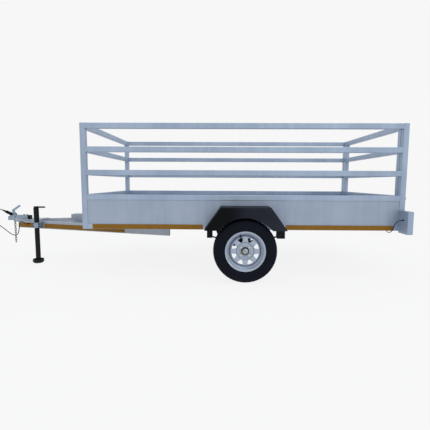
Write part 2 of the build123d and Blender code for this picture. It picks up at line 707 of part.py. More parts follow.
def jack_crank():
    hub = rod_z(JACK_TOP + 0.5, JACK_TOP + CRANK_HEIGHT, 0, 0, JACK_RADIUS - 1.0)
    handle = rod_x(0, CRANK_REACH - 9.0, 0, JACK_TOP + CRANK_HEIGHT / 2, 8.5)
    tip = Pos(CRANK_REACH - 9.0, 0, JACK_TOP + CRANK_HEIGHT / 2) * Sphere(8.5)
    handle = (handle + tip) - rod_z(JACK_TOP - 10, JACK_TOP + 40, 0, 0, SCREW_RADIUS)
    crank = hub - rod_z(JACK_TOP, JACK_TOP + CRANK_HEIGHT, 0, 0, SCREW_RADIUS)
    return Pos(JACK_X, JACK_Y, 0) * (crank + handle)


def jack_screw():
    return rod_z(100.0, JACK_TOP + CRANK_HEIGHT, JACK_X, JACK_Y, SCREW_RADIUS)


LEG_RADIUS = JACK_RADIUS - JACK_WALL - RUNNING_CLEARANCE


def jack_leg():
    top = JACK_TOP - 60.0
    leg = rod_z(FOOT_WALL, top, JACK_X, JACK_Y, LEG_RADIUS)
    leg -= rod_z(FOOT_WALL, top - 20.0, JACK_X, JACK_Y, LEG_RADIUS - 3.0)
    leg -= rod_z(top - 21.0, top, JACK_X, JACK_Y, SCREW_RADIUS + RUNNING_CLEARANCE)
    return leg


def jack_foot():
    pan = turned([(0, 0), (FOOT_RADIUS - 12, 0), (FOOT_RADIUS, 12), (FOOT_RADIUS, FOOT_HEIGHT),
                  (FOOT_RADIUS - FOOT_WALL, FOOT_HEIGHT), (FOOT_RADIUS - FOOT_WALL, 14),
                  (FOOT_RADIUS - 14, FOOT_WALL), (0, FOOT_WALL)])
    return Pos(JACK_X, JACK_Y, 0) * pan


# ---- axle and suspension ------------------------------------------------------------------
def axle_beam():
    half = WHEEL_Y - 62.0
    side = AXLE_BEAM / 2
    return block(AXLE_X - side, AXLE_X + side, -half, half, AXLE_Z - side, AXLE_Z + side)


def outward(side):
    """Turn a wheel-centred part, modelled with its outside towards +Y, to its side."""
    turn = Rot(0, 0, 0) if side > 0 else Rot(0, 0, 180)
    return Pos(AXLE_X, side * WHEEL_Y, AXLE_Z) * turn


def about_y(shape):
    """Lay a shape turned about Z down, so that its +Z points outward along +Y."""
    return Rot(-90, 0, 0) * shape


def stub_spindle(side):
    root = -62.0
    tip = [(0, root), (SPINDLE_RADIUS + 4, root), (SPINDLE_RADIUS + 4, root + 14),
           (SPINDLE_RADIUS, root + 14), (SPINDLE_RADIUS, -6), (SPINDLE_TIP_RADIUS, -6),
           (SPINDLE_TIP_RADIUS, 50), (0, 50)]
    return outward(side) * about_y(turned(tip))


def bearings(side):
    inner = turned([(SPINDLE_RADIUS, -36), (INNER_BEARING_RADIUS, -36),
                    (INNER_BEARING_RADIUS, -18), (SPINDLE_RADIUS, -18)])
    outer = turned([(SPINDLE_TIP_RADIUS, 20), (OUTER_BEARING_RADIUS, 20),
                    (OUTER_BEARING_RADIUS, 34), (SPINDLE_TIP_RADIUS, 34)])
    place = outward(side)
    return [place * about_y(inner), place * about_y(outer)]


def spindle_nut(side):
    nut = Pos(0, 0, 34.5) * hexagon(16.0, 10.0) - Cylinder(SPINDLE_TIP_RADIUS, 200)
    return outward(side) * about_y(nut)


def leaf_face(half_front, half_rear, bottom, thickness=LEAF_THICKNESS):
    """Side view of one leaf: an arc that hangs from its ends and is lowest at the axle."""
    sag = EYE_HEIGHT - (MAIN_LEAF_BOTTOM + LEAF_THICKNESS)
    radius = (FRONT_EYE_REACH ** 2 + sag ** 2) / (2 * sag)
    centre_z = MAIN_LEAF_BOTTOM + LEAF_THICKNESS + radius
    outer = centre_z - bottom
    inner = outer - thickness

    def point(reach, r):
        angle = math.asin(reach / outer)
        return AXLE_X + r * math.sin(angle), centre_z - r * math.cos(angle)

    low = ThreePointArc(point(-half_front, outer), point(0, outer), point(half_rear, outer))
    high = ThreePointArc(point(half_rear, inner), point(0, inner), point(-half_front, inner))
    ends = Line(low @ 1, high @ 0) + Line(high @ 1, low @ 0)
    return make_face(low + high + ends)


EYE_RADIUS = 14.0


def main_leaf(side):
    y0, y1 = sorted((side * (SPRING_Y - SPRING_WIDTH / 2), side * (SPRING_Y + SPRING_WIDTH / 2)))
    leaf = plate_xz(leaf_face(FRONT_EYE_REACH - 6.0, REAR_SLIPPER_REACH, MAIN_LEAF_BOTTOM), y0, y1)
    leaf += rod_y(y0, y1, FRONT_EYE_X, EYE_HEIGHT, EYE_RADIUS)
    leaf -= rod_y(y0, y1, FRONT_EYE_X, EYE_HEIGHT, HANGER_PIN_RADIUS + RUNNING_CLEARANCE)
    return leaf


def helper_leaves(side):
    y0, y1 = sorted((side * (SPRING_Y - SPRING_WIDTH / 2), side * (SPRING_Y + SPRING_WIDTH / 2)))
    leaves = []
    for i, reach in enumerate((215.0, 125.0)):
        bottom = MAIN_LEAF_BOTTOM - (i + 1) * (LEAF_THICKNESS + SEAT_GAP)
        leaves.append(plate_xz(leaf_face(reach, reach, bottom), y0, y1))
    return leaves


def spring_hangers():
    """Front eye hangers, rear slipper hangers and their pins, under the chassis rails."""
    pieces = []
    slot = SPRING_WIDTH / 2 + 1.0
    eye_drop = EYE_HEIGHT - 19.0
    slipper_top = EYE_HEIGHT + 15.0
    for _, side in SIDES:
        plates = []
        for y_side in (-1, 1):
            y0 = SPRING_Y + y_side * slot
            y1 = y0 + y_side * HANGER_THICKNESS
            front = side_block(FRONT_EYE_X - 26, FRONT_EYE_X + 26, side, min(y0, y1), max(y0, y1),
                               eye_drop, CHASSIS_BOTTOM)
            rear = side_block(SLIPPER_X - 38, SLIPPER_X + 36, side, min(y0, y1), max(y0, y1),
                              eye_drop - 4.0, CHASSIS_BOTTOM)
            plates.append((front, rear))
        reach = slot + HANGER_THICKNESS
        front_top = side_block(FRONT_EYE_X - 26, FRONT_EYE_X + 26, side, SPRING_Y - reach,
                               SPRING_Y + reach, CHASSIS_BOTTOM - 6.0, CHASSIS_BOTTOM)
        rear_top = side_block(SLIPPER_X - 38, SLIPPER_X + 36, side, SPRING_Y - reach,
                              SPRING_Y + reach, CHASSIS_BOTTOM - 6.0, CHASSIS_BOTTOM)
        rub = rod_y(side * (SPRING_Y - slot), side * (SPRING_Y + slot), SLIPPER_X - 6.0,
                    slipper_top + 10.0, 12.0)
        front_hanger = plates[0][0] + plates[1][0] + front_top
        rear_hanger = plates[0][1] + plates[1][1] + rear_top + rub
        front_pin = rod_y(side * (SPRING_Y - reach - 6), side * (SPRING_Y + reach + 6),
                          FRONT_EYE_X, EYE_HEIGHT, HANGER_PIN_RADIUS)
        rear_pin = rod_y(side * (SPRING_Y - reach - 6), side * (SPRING_Y + reach + 6),
                         SLIPPER_X + 12.0, EYE_HEIGHT - 12.0, 5.0)
        pieces.append(front_hanger - front_pin)
        pieces.append(rear_hanger - rear_pin)
        pieces.append(front_pin)
        pieces.append(rear_pin)
    return pieces


def spring_clamps(side):
    """Spacer pad, top plate and two U-bolts that hold the spring to the axle beam."""
    beam = AXLE_BEAM / 2
    low = AXLE_Z - beam
    top_z = MAIN_LEAF_BOTTOM + LEAF_THICKNESS + 1.0
    y0, y1 = SPRING_Y - SPRING_WIDTH / 2, SPRING_Y + SPRING_WIDTH / 2
    leg_y = SPRING_WIDTH / 2 + UBOLT_RADIUS + 1.0
    pad_low_leaf = MAIN_LEAF_BOTTOM - 2 * (LEAF_THICKNESS + SEAT_GAP)
    pad = side_block(AXLE_X - 45, AXLE_X + 45, side, y0, y1, AXLE_Z + beam, pad_low_leaf + 10.0)
    pad -= plate_xz(leaf_face(120.0, 120.0, pad_low_leaf - SEAT_GAP, 40.0),
                    *sorted((side * (y0 - 1), side * (y1 + 1))))
    plate_reach = leg_y + UBOLT_RADIUS + 4.0
    plate = side_block(AXLE_X - 45, AXLE_X + 45, side, SPRING_Y - plate_reach,
                       SPRING_Y + plate_reach, top_z + 1.5, top_z + 8.5)
    keel = side_block(AXLE_X - 18, AXLE_X + 18, side, y0, y1, top_z - 0.7, top_z + 1.5)
    plate += keel
    pieces = [pad]
    for x_side in (-1, 1):
        x = AXLE_X + x_side * (beam + UBOLT_RADIUS + 1.0)
        bend_z = low - UBOLT_RADIUS - 0.2
        hoop = None
        for y_side in (-1, 1):
            y = side * SPRING_Y + y_side * leg_y
            leg = rod_z(bend_z, top_z + 26.0, x, y, UBOLT_RADIUS)
            hoop = leg if hoop is None else hoop + leg
            nut = Pos(x, y, top_z + 8.5) * (hexagon(9.0, 8.0) - Cylinder(UBOLT_RADIUS, 60))
            pieces.append(nut)
            plate -= rod_z(top_z - 5, top_z + 20, x, y, UBOLT_RADIUS + 0.2)
            hoop += Pos(x, y, bend_z) * Sphere(UBOLT_RADIUS)
        hoop += rod_y(side * SPRING_Y - leg_y, side * SPRING_Y + leg_y, x, bend_z, UBOLT_RADIUS)
        pieces.append(hoop)
    return pieces + [plate]


# ---- wheels -------------------------------------------------------------------------------
def rim_solid(side):
    """Drop-centre rim and dished disc as one turned piece, with curved-triangle windows."""
    half = RIM_WIDTH / 2
    t = RIM_THICKNESS
    outer = [(RIM_FLANGE_RADIUS, -half - 5), (RIM_FLANGE_RADIUS, -half - 1),
             (BEAD_RADIUS + 5, -half + 2), (BEAD_RADIUS, -half + 6), (BEAD_RADIUS, -half + 24),
             (DROP_CENTRE_RADIUS, -half + 34), (DROP_CENTRE_RADIUS, 22),
             (BEAD_RADIUS - 3, half - 24), (BEAD_RADIUS, half - 20), (BEAD_RADIUS, half - 6),
             (BEAD_RADIUS + 5, half - 2), (RIM_FLANGE_RADIUS, half + 1),
             (RIM_FLANGE_RADIUS, half + 5)]
    inner = [(BEAD_RADIUS + 3, half + 2), (BEAD_RADIUS - t, half - 4), (BEAD_RADIUS - t, half - 20),
             (BEAD_RADIUS - 3 - t, half - 25), (DROP_CENTRE_RADIUS - t, 24),
             (DROP_CENTRE_RADIUS - t, -half + 32), (BEAD_RADIUS - t, -half + 22),
             (BEAD_RADIUS - t, -half + 4), (BEAD_RADIUS + 3, -half - 2)]
    barrel = turned(outer + inner)
    face = DISC_FACE
    disc_top = [(HUB_RADIUS + 3, face + 4), (74, face + 4), (82, face + 12), (103, face + 15),
                (128, face + 9), (138, face + 1), (DROP_CENTRE_RADIUS - t, 12)]
    disc_low = [(DROP_CENTRE_RADIUS - t, 4), (135, face - 4), (126, face + 4), (103, face + 10),
                (84, face + 7), (76, face), (HUB_RADIUS + 3, face)]
    rim = barrel + turned(disc_top + disc_low)
    depth = WINDOW_DEPTH / 2
    top = ThreePointArc((-WINDOW_BASE / 2, depth - 4), (0, depth + 1), (WINDOW_BASE / 2, depth - 4))
    low_left = ThreePointArc((WINDOW_BASE / 2, depth - 4), (14, -depth + 12), (5, -depth))
    low_right = ThreePointArc((-5, -depth), (-14, -depth + 12), (-WINDOW_BASE / 2, depth - 4))
    window = make_face(top + low_left + Line((5, -depth), (-5, -depth)) + low_right)
    cutter = extrude(window, amount=80.0)
    for i in range(WINDOW_COUNT):
        rim -= Rot(0, 0, 22.5 + i * 360.0 / WINDOW_COUNT) * Pos(0, WINDOW_RADIUS, 0) * cutter
    for i in range(STUD_COUNT):
        rim -= Rot(0, 0, 45 + i * 360.0 / STUD_COUNT) * Pos(STUD_PCD / 2, 0, face) * Cylinder(
            STUD_RADIUS + 0.3, 40)
    return outward(side) * about_y(rim)


def tyre_solid(side):
    half = TYRE_WIDTH / 2
    bead = RIM_WIDTH / 2 - 6.5
    seat = BEAD_RADIUS + SEAT_GAP
    r = TYRE_RADIUS
    crown = ThreePointArc((r - 7, -58), (r, 0), (r - 7, 58))
    flat = [(r - 7, 58), (r - 20, 69)]
    wall_out = ThreePointArc((r - 20, 69), (r - 62, half), (seat + 20, 66))
    wall_in = ThreePointArc((seat + 20, -66), (r - 62, -half), (r - 20, -69))
    lip = Polyline((seat + 20, 66), (seat + 8, bead), (seat, bead), (seat, bead - 14),
                   (seat + 18, bead - 10))
    hollow = ThreePointArc((seat + 18, bead - 10), (r - 62, half - 9), (r - 24, 56))
    liner = ThreePointArc((r - 24, 56), (r - 12, 0), (r - 24, -56))
    hollow_in = ThreePointArc((r - 24, -56), (r - 62, -half + 9), (seat + 18, -bead + 10))
    lip_in = Polyline((seat + 18, -bead + 10), (seat, -bead + 14), (seat, -bead),
                      (seat + 8, -bead), (seat + 20, -66))
    edge = crown + Polyline(*flat) + wall_out + lip + hollow + liner + hollow_in + lip_in
    edge = edge + wall_in + Line((r - 20, -69), (r - 7, -58))
    tyre = revolve(Plane.XZ * make_face(edge), Axis.Z, 360)
    return outward(side) * about_y(tyre)


def hub_solid(side):
    cap_bore = CAP_RADIUS + RUNNING_CLEARANCE
    inner = INNER_BEARING_RADIUS + RUNNING_CLEARANCE
    outer = OUTER_BEARING_RADIUS + RUNNING_CLEARANCE
    face = DISC_FACE
    hub = turned([(inner, -42), (HUB_RADIUS, -42), (HUB_RADIUS, face - 12), (66, face - 10),
                  (66, face), (HUB_RADIUS, face), (HUB_RADIUS, 50), (cap_bore, 50),
                  (cap_bore, 40), (outer, 40), (outer, 19), (SPINDLE_RADIUS + 2, 19),
                  (SPINDLE_RADIUS + 2, -17), (inner, -17)])
    for i in range(STUD_COUNT):
        hub -= Rot(0, 0, 45 + i * 360.0 / STUD_COUNT) * Pos(STUD_PCD / 2, 0, face) * Cylinder(
            STUD_RADIUS, 60)
    return outward(side) * about_y(hub)


def wheel_bolts(side):
    bolts = []
    for i in range(STUD_COUNT):
        nut = Pos(0, 0, DISC_FACE + 4.0) * hexagon(11.0, 15.0)
        shank = Pos(0, 0, DISC_FACE - 14.0) * Cylinder(
            STUD_RADIUS, 30.0, align=(Align.CENTER, Align.CENTER, Align.MIN))
        bolt = Rot(0, 0, 45 + i * 360.0 / STUD_COUNT) * Pos(STUD_PCD / 2, 0, 0) * (nut + shank)
        bolts.append(outward(side) * about_y(bolt))
    return bolts


def dust_cap(side):
    cap = turned([(0, 68), (14, 68), (CAP_RADIUS - 2, 62), (CAP_RADIUS - 2, 54),
                  (CAP_RADIUS + 2, 53), (CAP_RADIUS + 2, 50.3), (CAP_RADIUS, 50.3),
                  (CAP_RADIUS, 42), (CAP_RADIUS - 2, 42), (CAP_RADIUS - 4, 60), (12, 66),
                  (0, 66)])
    return outward(side) * about_y(cap)


# ---- mudguards ----------------------------------------------------------------------------
def guard_half_length(z, inset=0.0):
    """Half the guard's length at height z, inset square to its slanted ends."""
    slope = (GUARD_BOTTOM_LENGTH - GUARD_TOP_LENGTH) / 2 / (GUARD_TOP - GUARD_BOTTOM)
    return GUARD_TOP_LENGTH / 2 + (GUARD_TOP - z) * slope - inset * math.hypot(1.0, slope)


def guard_outline(inset, extra_down=0.0):
    """The guard's side view, inset by its thickness where asked."""
    z0, z1 = GUARD_BOTTOM - extra_down, GUARD_TOP - inset
    low, high = guard_half_length(z0, inset), guard_half_length(z1, inset)
    return make_face(Polyline((AXLE_X - low, z0), (AXLE_X + low, z0),
                              (AXLE_X + high, z1), (AXLE_X - high, z1), close=True))


def mudguard(side):
    inner_y = HALF_WIDTH
    shell = plate_xz(guard_outline(0.0), inner_y, GUARD_OUTER_Y)
    rounded = shell.faces().sort_by(Axis.Y)[-1].edges().sort_by(Axis.Z)[1:]
    shell = fillet(rounded, GUARD_EDGE_RADIUS)
    hollow = plate_xz(guard_outline(GUARD_THICKNESS, 20.0), inner_y + GUARD_THICKNESS,
                      GUARD_OUTER_Y - GUARD_THICKNESS)
    soft = hollow.faces().sort_by(Axis.Y)[-1].edges().sort_by(Axis.Z)[1:]
    hollow = fillet(soft, GUARD_EDGE_RADIUS - GUARD_THICKNESS)
    shell -= hollow
    shell -= plate_xz(guard_outline(GUARD_FLANGE, 20.0), inner_y - 1, inner_y + 2 * GUARD_THICKNESS)
    shell -= rod_y(GUARD_OUTER_Y - 8.0, GUARD_OUTER_Y + 2.0, AXLE_X, AXLE_Z, GUARD_ARCH_RADIUS)
    return shell if side > 0 else mirror(shell, about=Plane.XZ)


def mudguard_stays():
    """Flat bars from the chassis rail to the skirt, inside the open ends of each mudguard."""
    stays = []
    z0 = GUARD_BOTTOM + 6.0
    reach = guard_half_length(z0 + 5.0, GUARD_FLANGE) - 13.0
    for _, side in SIDES:
        for x_side in (-1, 1):
            x = AXLE_X + x_side * reach
            y1 = GUARD_OUTER_Y - GUARD_THICKNESS
            stay = side_block(x - 12.0, x + 12.0, side, HALF_WIDTH, y1, z0, z0 + 5.0)
            foot = side_block(x - 12.0, x + 12.0, side, HALF_WIDTH, HALF_WIDTH + 4.0,
                              z0 - 16.0, z0 + 5.0)
            stays.append(stay + foot)
    return stays


# ---- rear lights --------------------------------------------------------------------------
def light_box(side):
    x0 = REAR_X - LIGHT_DEPTH
    y0, y1 = HALF_WIDTH, HALF_WIDTH + LIGHT_REACH
    z1 = LIGHT_BOTTOM + LIGHT_HEIGHT
    box = side_block(x0, REAR_X, side, y0, y1, LIGHT_BOTTOM, z1)
    upright = box.edges().filter_by(Axis.Z)
    box = fillet(upright.sort_by(Axis.Y)[:2] if side < 0 else upright.sort_by(Axis.Y)[2:], 4.0)
    box -= side_block(x0 + SHEET, REAR_X - 8.0, side, y0 + SHEET, y1 - SHEET,
                      LIGHT_BOTTOM + SHEET, z1 - SHEET)
    return box


def light_lens(side):
    y0 = HALF_WIDTH + 16.0
    y1 = HALF_WIDTH + LIGHT_REACH - 16.0
    lens = side_block(REAR_X, REAR_X + LENS_THICKNESS, side, y0, y1, LIGHT_BOTTOM + 25.0,
                      LIGHT_BOTTOM + LIGHT_HEIGHT - 25.0)
    return fillet(lens.faces().sort_by(Axis.X)[-1].edges(), 4.0)


# ---- gate ---------------------------------------------------------------------------------
def gate_frame():
    x = REAR_X - TUBE / 2
    stile_y = GATE_HALF_WIDTH - TUBE / 2
    pieces = []
    for side in (-1, 1):
        stile = bar_z(GATE_BOTTOM, SIDE_TOP - SHEET, x, side * stile_y)
        cap = Pos(x, side * stile_y, SIDE_TOP - SHEET) * extrude(
            RectangleRounded(TUBE, TUBE, TUBE_CORNER), amount=SHEET)
        pieces.append(stile + cap)
    reach = GATE_HALF_WIDTH - TUBE
    for top in (GATE_BOTTOM + TUBE,) + RAIL_TOPS:
        pieces.append(bar_y(-reach, reach, x, top - TUBE / 2))
    return pieces


def gate_panel():
    reach = GATE_HALF_WIDTH - TUBE
    x1 = REAR_X - PANEL_SET_BACK
    return block(x1 - SHEET, x1, -reach, reach, GATE_BOTTOM + TUBE, PANEL_RAIL_BOTTOM)


def knuckle(z0, leaf_y0, leaf_y1, bore):
    z1 = z0 + KNUCKLE_LENGTH
    barrel = rod_z(z0, z1, HINGE_X, HINGE_Y, HINGE_RADIUS)
    leaf = block(REAR_X, REAR_X + LEAF_PLATE, leaf_y0, leaf_y1, z0, z1)
    return (barrel + leaf) - rod_z(z0, z1, HINGE_X, HINGE_Y, bore)


def gate_post_hinges():
    """Lower knuckles on the right post, each with its fixed pin."""
    pieces = []
    for z in HINGE_HEIGHTS:
        pieces.append(knuckle(z, HINGE_Y + 3.0, HALF_WIDTH - 6.0, HINGE_PIN_RADIUS))
        pieces.append(rod_z(z, z + 2 * KNUCKLE_LENGTH, HINGE_X, HINGE_Y, HINGE_PIN_RADIUS))
    return pieces


def gate_knuckles():
    bore = HINGE_PIN_RADIUS + RUNNING_CLEARANCE
    leaf_y0 = GATE_HALF_WIDTH - TUBE + 6.0
    return [knuckle(z + KNUCKLE_LENGTH + 1.0, leaf_y0, HINGE_Y - 3.0, bore) for z in HINGE_HEIGHTS]


def latch_guides():
    """Back plate on the gate with two bored guides for the slide bolt."""
    y0 = -GATE_HALF_WIDTH + 4.0
    y1 = y0 + BOLT_LENGTH
    plate = block(REAR_X, REAR_X + 3.0, y0, y1, BOLT_Z - 20.0, BOLT_Z + 20.0)
    for y in (y0 + 2.0, y1 - 30.0):
        plate += block(REAR_X + 3.0, BOLT_X + 10.0, y, y + 14.0, BOLT_Z - 11.0, BOLT_Z + 11.0)
    return plate - rod_y(y0, y1, BOLT_X, BOLT_Z, BOLT_RADIUS + RUNNING_CLEARANCE)


def latch_bolt():
    y0 = -GATE_HALF_WIDTH
    bolt = rod_y(y0, y0 + BOLT_LENGTH, BOLT_X, BOLT_Z, BOLT_RADIUS)
    grip_y = y0 + 92.0
    grip = rod_x(BOLT_X, BOLT_X + GRIP_REACH, grip_y, BOLT_Z, 4.5)
    knob = Pos(BOLT_X + GRIP_REACH, grip_y, BOLT_Z) * Sphere(KNOB_RADIUS)
    return bolt + grip + knob


def latch_keeper():
    y1 = -INNER_Y - 3.0
    keeper = block(REAR_X, BOLT_X + 9.0, y1 - 18.0, y1, BOLT_Z - 13.0, BOLT_Z + 13.0)
    return keeper - rod_y(y1 - 18.0, y1, BOLT_X, BOLT_Z, BOLT_RADIUS + 0.5)


# ---- write every piece --------------------------------------------------------------------
os.makedirs("parts", exist_ok=True)

save("chassis_side_rails", *chassis_side_rails())
save("cross_members", *cross_members())
save("floor_sheet", floor_sheet())
save("corner_posts", *corner_posts())
for name, side in SIDES:
    save(f"{name}_side_rails", *side_rails(side))
    save(f"{name}_drawbar_arm", drawbar_arm(side))
    save(f"{name}_mudguard", mudguard(side))
    save(f"{name}_rim", rim_solid(side))
    save(f"{name}_tyre", tyre_solid(side))
    save(f"{name}_hub", hub_solid(side))
    save(f"{name}_wheel_bolts", *wheel_bolts(side))
    save(f"{name}_dust_cap", dust_cap(side))
    save(f"{name}_light_cable", light_cable(side))
save("front_rails", *front_rails())
save("side_panels", *side_panels())
save("reflective_tape", *body_tape_strips(), *drawbar_tape_strips())
save("drawbar_brace", drawbar_brace())
save("nose_plate", nose_plate())
save("spare_carrier", spare_carrier())
save("coupler_body", coupler_body())
save("coupler_lever", coupler_lever())
save("coupler_jaw", coupler_jaw())
save("drawbar_bolts", *coupler_pins(), *drawbar_bolts())
save("plug_holder", plug_holder())
save("plug", plug())
save("plug_cable", plug_cable())
save("cable_grommet", grommet())
save("junction_boxes", *junction_boxes())
save("safety_chain", *safety_chain())
save("jack_tube", jack_tube())
save("jack_clamp", *jack_clamp())
save("jack_crank", jack_crank())
save("jack_screw", jack_screw())
save("jack_leg", jack_leg())
save("jack_foot", jack_foot())
save("axle_beam", axle_beam(), *[stub_spindle(side) for _, side in SIDES])
save("wheel_bearings", *bearings(-1), *bearings(1), spindle_nut(-1), spindle_nut(1))
save("main_leaves", *[main_leaf(side) for _, side in SIDES])
save("helper_leaves", *helper_leaves(-1), *helper_leaves(1))
save("spring_hangers", *spring_hangers())
save("spring_clamps", *spring_clamps(-1), *spring_clamps(1))
save("mudguard_stays", *mudguard_stays())
save("light_boxes", *[light_box(side) for _, side in SIDES])
save("light_lenses", *[light_lens(side) for _, side in SIDES])
save("gate_frame", *gate_frame())
save("gate_panel", gate_panel())
save("gate_post_hinges", *gate_post_hinges())
save("gate_knuckles", *gate_knuckles())
save("latch_guides", latch_guides())
save("latch_bolt", latch_bolt())
save("latch_keeper", latch_keeper())
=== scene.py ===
import logging
import math
import random
from dataclasses import dataclass, field
from enum import Enum
from typing import Callable, Dict, List, Optional, Sequence, Tuple, Union

import bpy
from mathutils import Matrix, Vector


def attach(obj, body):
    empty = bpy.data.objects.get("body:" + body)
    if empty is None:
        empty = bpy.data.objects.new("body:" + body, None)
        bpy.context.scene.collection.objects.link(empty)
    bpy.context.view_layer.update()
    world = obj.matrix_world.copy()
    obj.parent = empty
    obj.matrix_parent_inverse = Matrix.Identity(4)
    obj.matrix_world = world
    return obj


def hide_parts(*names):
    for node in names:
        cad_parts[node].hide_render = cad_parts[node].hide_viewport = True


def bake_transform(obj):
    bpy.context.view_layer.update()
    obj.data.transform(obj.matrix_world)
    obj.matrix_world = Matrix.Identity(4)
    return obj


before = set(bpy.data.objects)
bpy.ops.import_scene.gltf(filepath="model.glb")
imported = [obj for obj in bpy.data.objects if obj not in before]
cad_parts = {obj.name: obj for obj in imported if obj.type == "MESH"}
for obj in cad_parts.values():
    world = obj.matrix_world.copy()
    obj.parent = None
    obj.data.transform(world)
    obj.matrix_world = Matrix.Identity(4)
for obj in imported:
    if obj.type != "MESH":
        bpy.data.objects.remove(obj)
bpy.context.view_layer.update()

LOG = logging.getLogger("livestock_trailer")
Point = Tuple[float, float, float]
Colour = Tuple[float, float, float]
MM = 0.001
SHIFT_X = 0.567  # where the body's centre lies in the frame, in metres


class Side(Enum):
    """The trailer's two sides: its left is at -Y."""

    LEFT = -1
    RIGHT = 1

    @property
    def word(self) -> str:
        """The side's name, as the frame's nodes have it."""
        return self.name.lower()


class Stop(Enum):
    """How a grid of rings is closed."""

    OPEN = "open"
    LOOP = "loop"


# ---------------------------------------------------------------- shader expressions


class Expr:
    """A number socket that takes part in Python arithmetic by adding Math nodes."""

    def __init__(self, graph: "NodeTree", socket: bpy.types.NodeSocket) -> None:
        """Wrap a socket.

        Args:
            graph: the node tree that the socket is in.
            socket: an output socket.
        """
        self.graph = graph
        self.socket = socket

    def _math(self, operation: str, first: "Value", second: "Value" = 0.0) -> "Expr":
        """Add one Math node.

        Args:
            operation: the node's operation.
            first: its first operand.
            second: its second operand.

        Returns:
            The node's result.
        """
        node = self.graph.node("ShaderNodeMath", {"operation": operation}, {0: first, 1: second})
        return Expr(self.graph, node.outputs[0])

    def __add__(self, other: "Value") -> "Expr":
        """Sum."""
        return self._math("ADD", self, other)

    __radd__ = __add__

    def __sub__(self, other: "Value") -> "Expr":
        """Difference."""
        return self._math("SUBTRACT", self, other)

    def __rsub__(self, other: "Value") -> "Expr":
        """Difference from a plain number."""
        return self._math("SUBTRACT", other, self)

    def __mul__(self, other: "Value") -> "Expr":
        """Product."""
        return self._math("MULTIPLY", self, other)

    __rmul__ = __mul__

    def __truediv__(self, other: "Value") -> "Expr":
        """Quotient."""
        return self._math("DIVIDE", self, other)

    def __pow__(self, other: "Value") -> "Expr":
        """Power."""
        return self._math("POWER", self, other)

    def __abs__(self) -> "Expr":
        """Size without sign."""
        return self._math("ABSOLUTE", self)

    def fraction(self) -> "Expr":
        """The part after the decimal point."""
        return self._math("FRACT", self)

    def floor(self) -> "Expr":
        """The whole number below."""
        return self._math("FLOOR", self)

    def at_least(self, other: "Value") -> "Expr":
        """The larger of two values."""
        return self._math("MAXIMUM", self, other)

    def at_most(self, other: "Value") -> "Expr":
        """The smaller of two values."""
        return self._math("MINIMUM", self, other)

    def between(self, low: float, high: float) -> "Expr":
        """A soft step from 0 at low to 1 at high.

        Args:
            low: where the step starts.
            high: where it ends.

        Returns:
            The step, kept between 0 and 1.
        """
        node = self.graph.node(
            "ShaderNodeMapRange",
            {"interpolation_type": "SMOOTHSTEP", "clamp": True},
            {"Value": self, "From Min": low, "From Max": high, "To Min": 0.0, "To Max": 1.0},
        )
        return Expr(self.graph, node.outputs["Result"])


Value = Union[Expr, float, Sequence[float]]


class NodeTree:
    """A node tree with one way to add nodes and to feed their sockets."""

    def __init__(self, tree: bpy.types.NodeTree) -> None:
        """Take over a tree and empty it.

        Args:
            tree: the tree of a material or of the world.
        """
        self.tree = tree
        self.tree.nodes.clear()

    def node(
        self,
        kind: str,
        settings: Optional[Dict[str, object]] = None,
        inputs: Optional[Dict[Union[str, int], Value]] = None,
    ) -> bpy.types.Node:
        """Add any node.

        Args:
            kind: the node's type.
            settings: its own settings, set first; "stops" gives a ramp's stops.
            inputs: values or links for its sockets, by name or place.

        Returns:
            The node.
        """
        node = self.tree.nodes.new(kind)
        for key, value in (settings or {}).items():
            if key == "stops":
                self._set_stops(node, value)
            else:
                setattr(node, key, value)
        for key, value in (inputs or {}).items():
            self.feed(node.inputs[key], value)
        return node

    @staticmethod
    def _set_stops(node: bpy.types.Node, stops: Sequence[Tuple[float, Colour]]) -> None:
        """Give a colour ramp its stops.

        Args:
            node: the ramp node.
            stops: place and colour of each stop.
        """
        ramp = node.color_ramp
        while len(ramp.elements) < len(stops):
            ramp.elements.new(0.5)
        for element, (place, colour) in zip(ramp.elements, stops):
            element.position = place
            element.color = (*colour, 1.0)

    def feed(self, socket: bpy.types.NodeSocket, value: Value) -> None:
        """Link or set one input socket.

        Args:
            socket: the input.
            value: an expression, a number, a colour or a vector.
        """
        if isinstance(value, Expr):
            self.tree.links.new(value.socket, socket)
        elif isinstance(value, (int, float)):
            socket.default_value = value
        elif socket.type == "RGBA" and len(value) == 3:
            socket.default_value = (*value, 1.0)
        else:
            socket.default_value = value

    def parts(self, vector: Expr) -> Tuple[Expr, Expr, Expr]:
        """The three numbers of a vector."""
        node = self.node("ShaderNodeSeparateXYZ", inputs={0: vector})
        return tuple(Expr(self, out) for out in node.outputs)


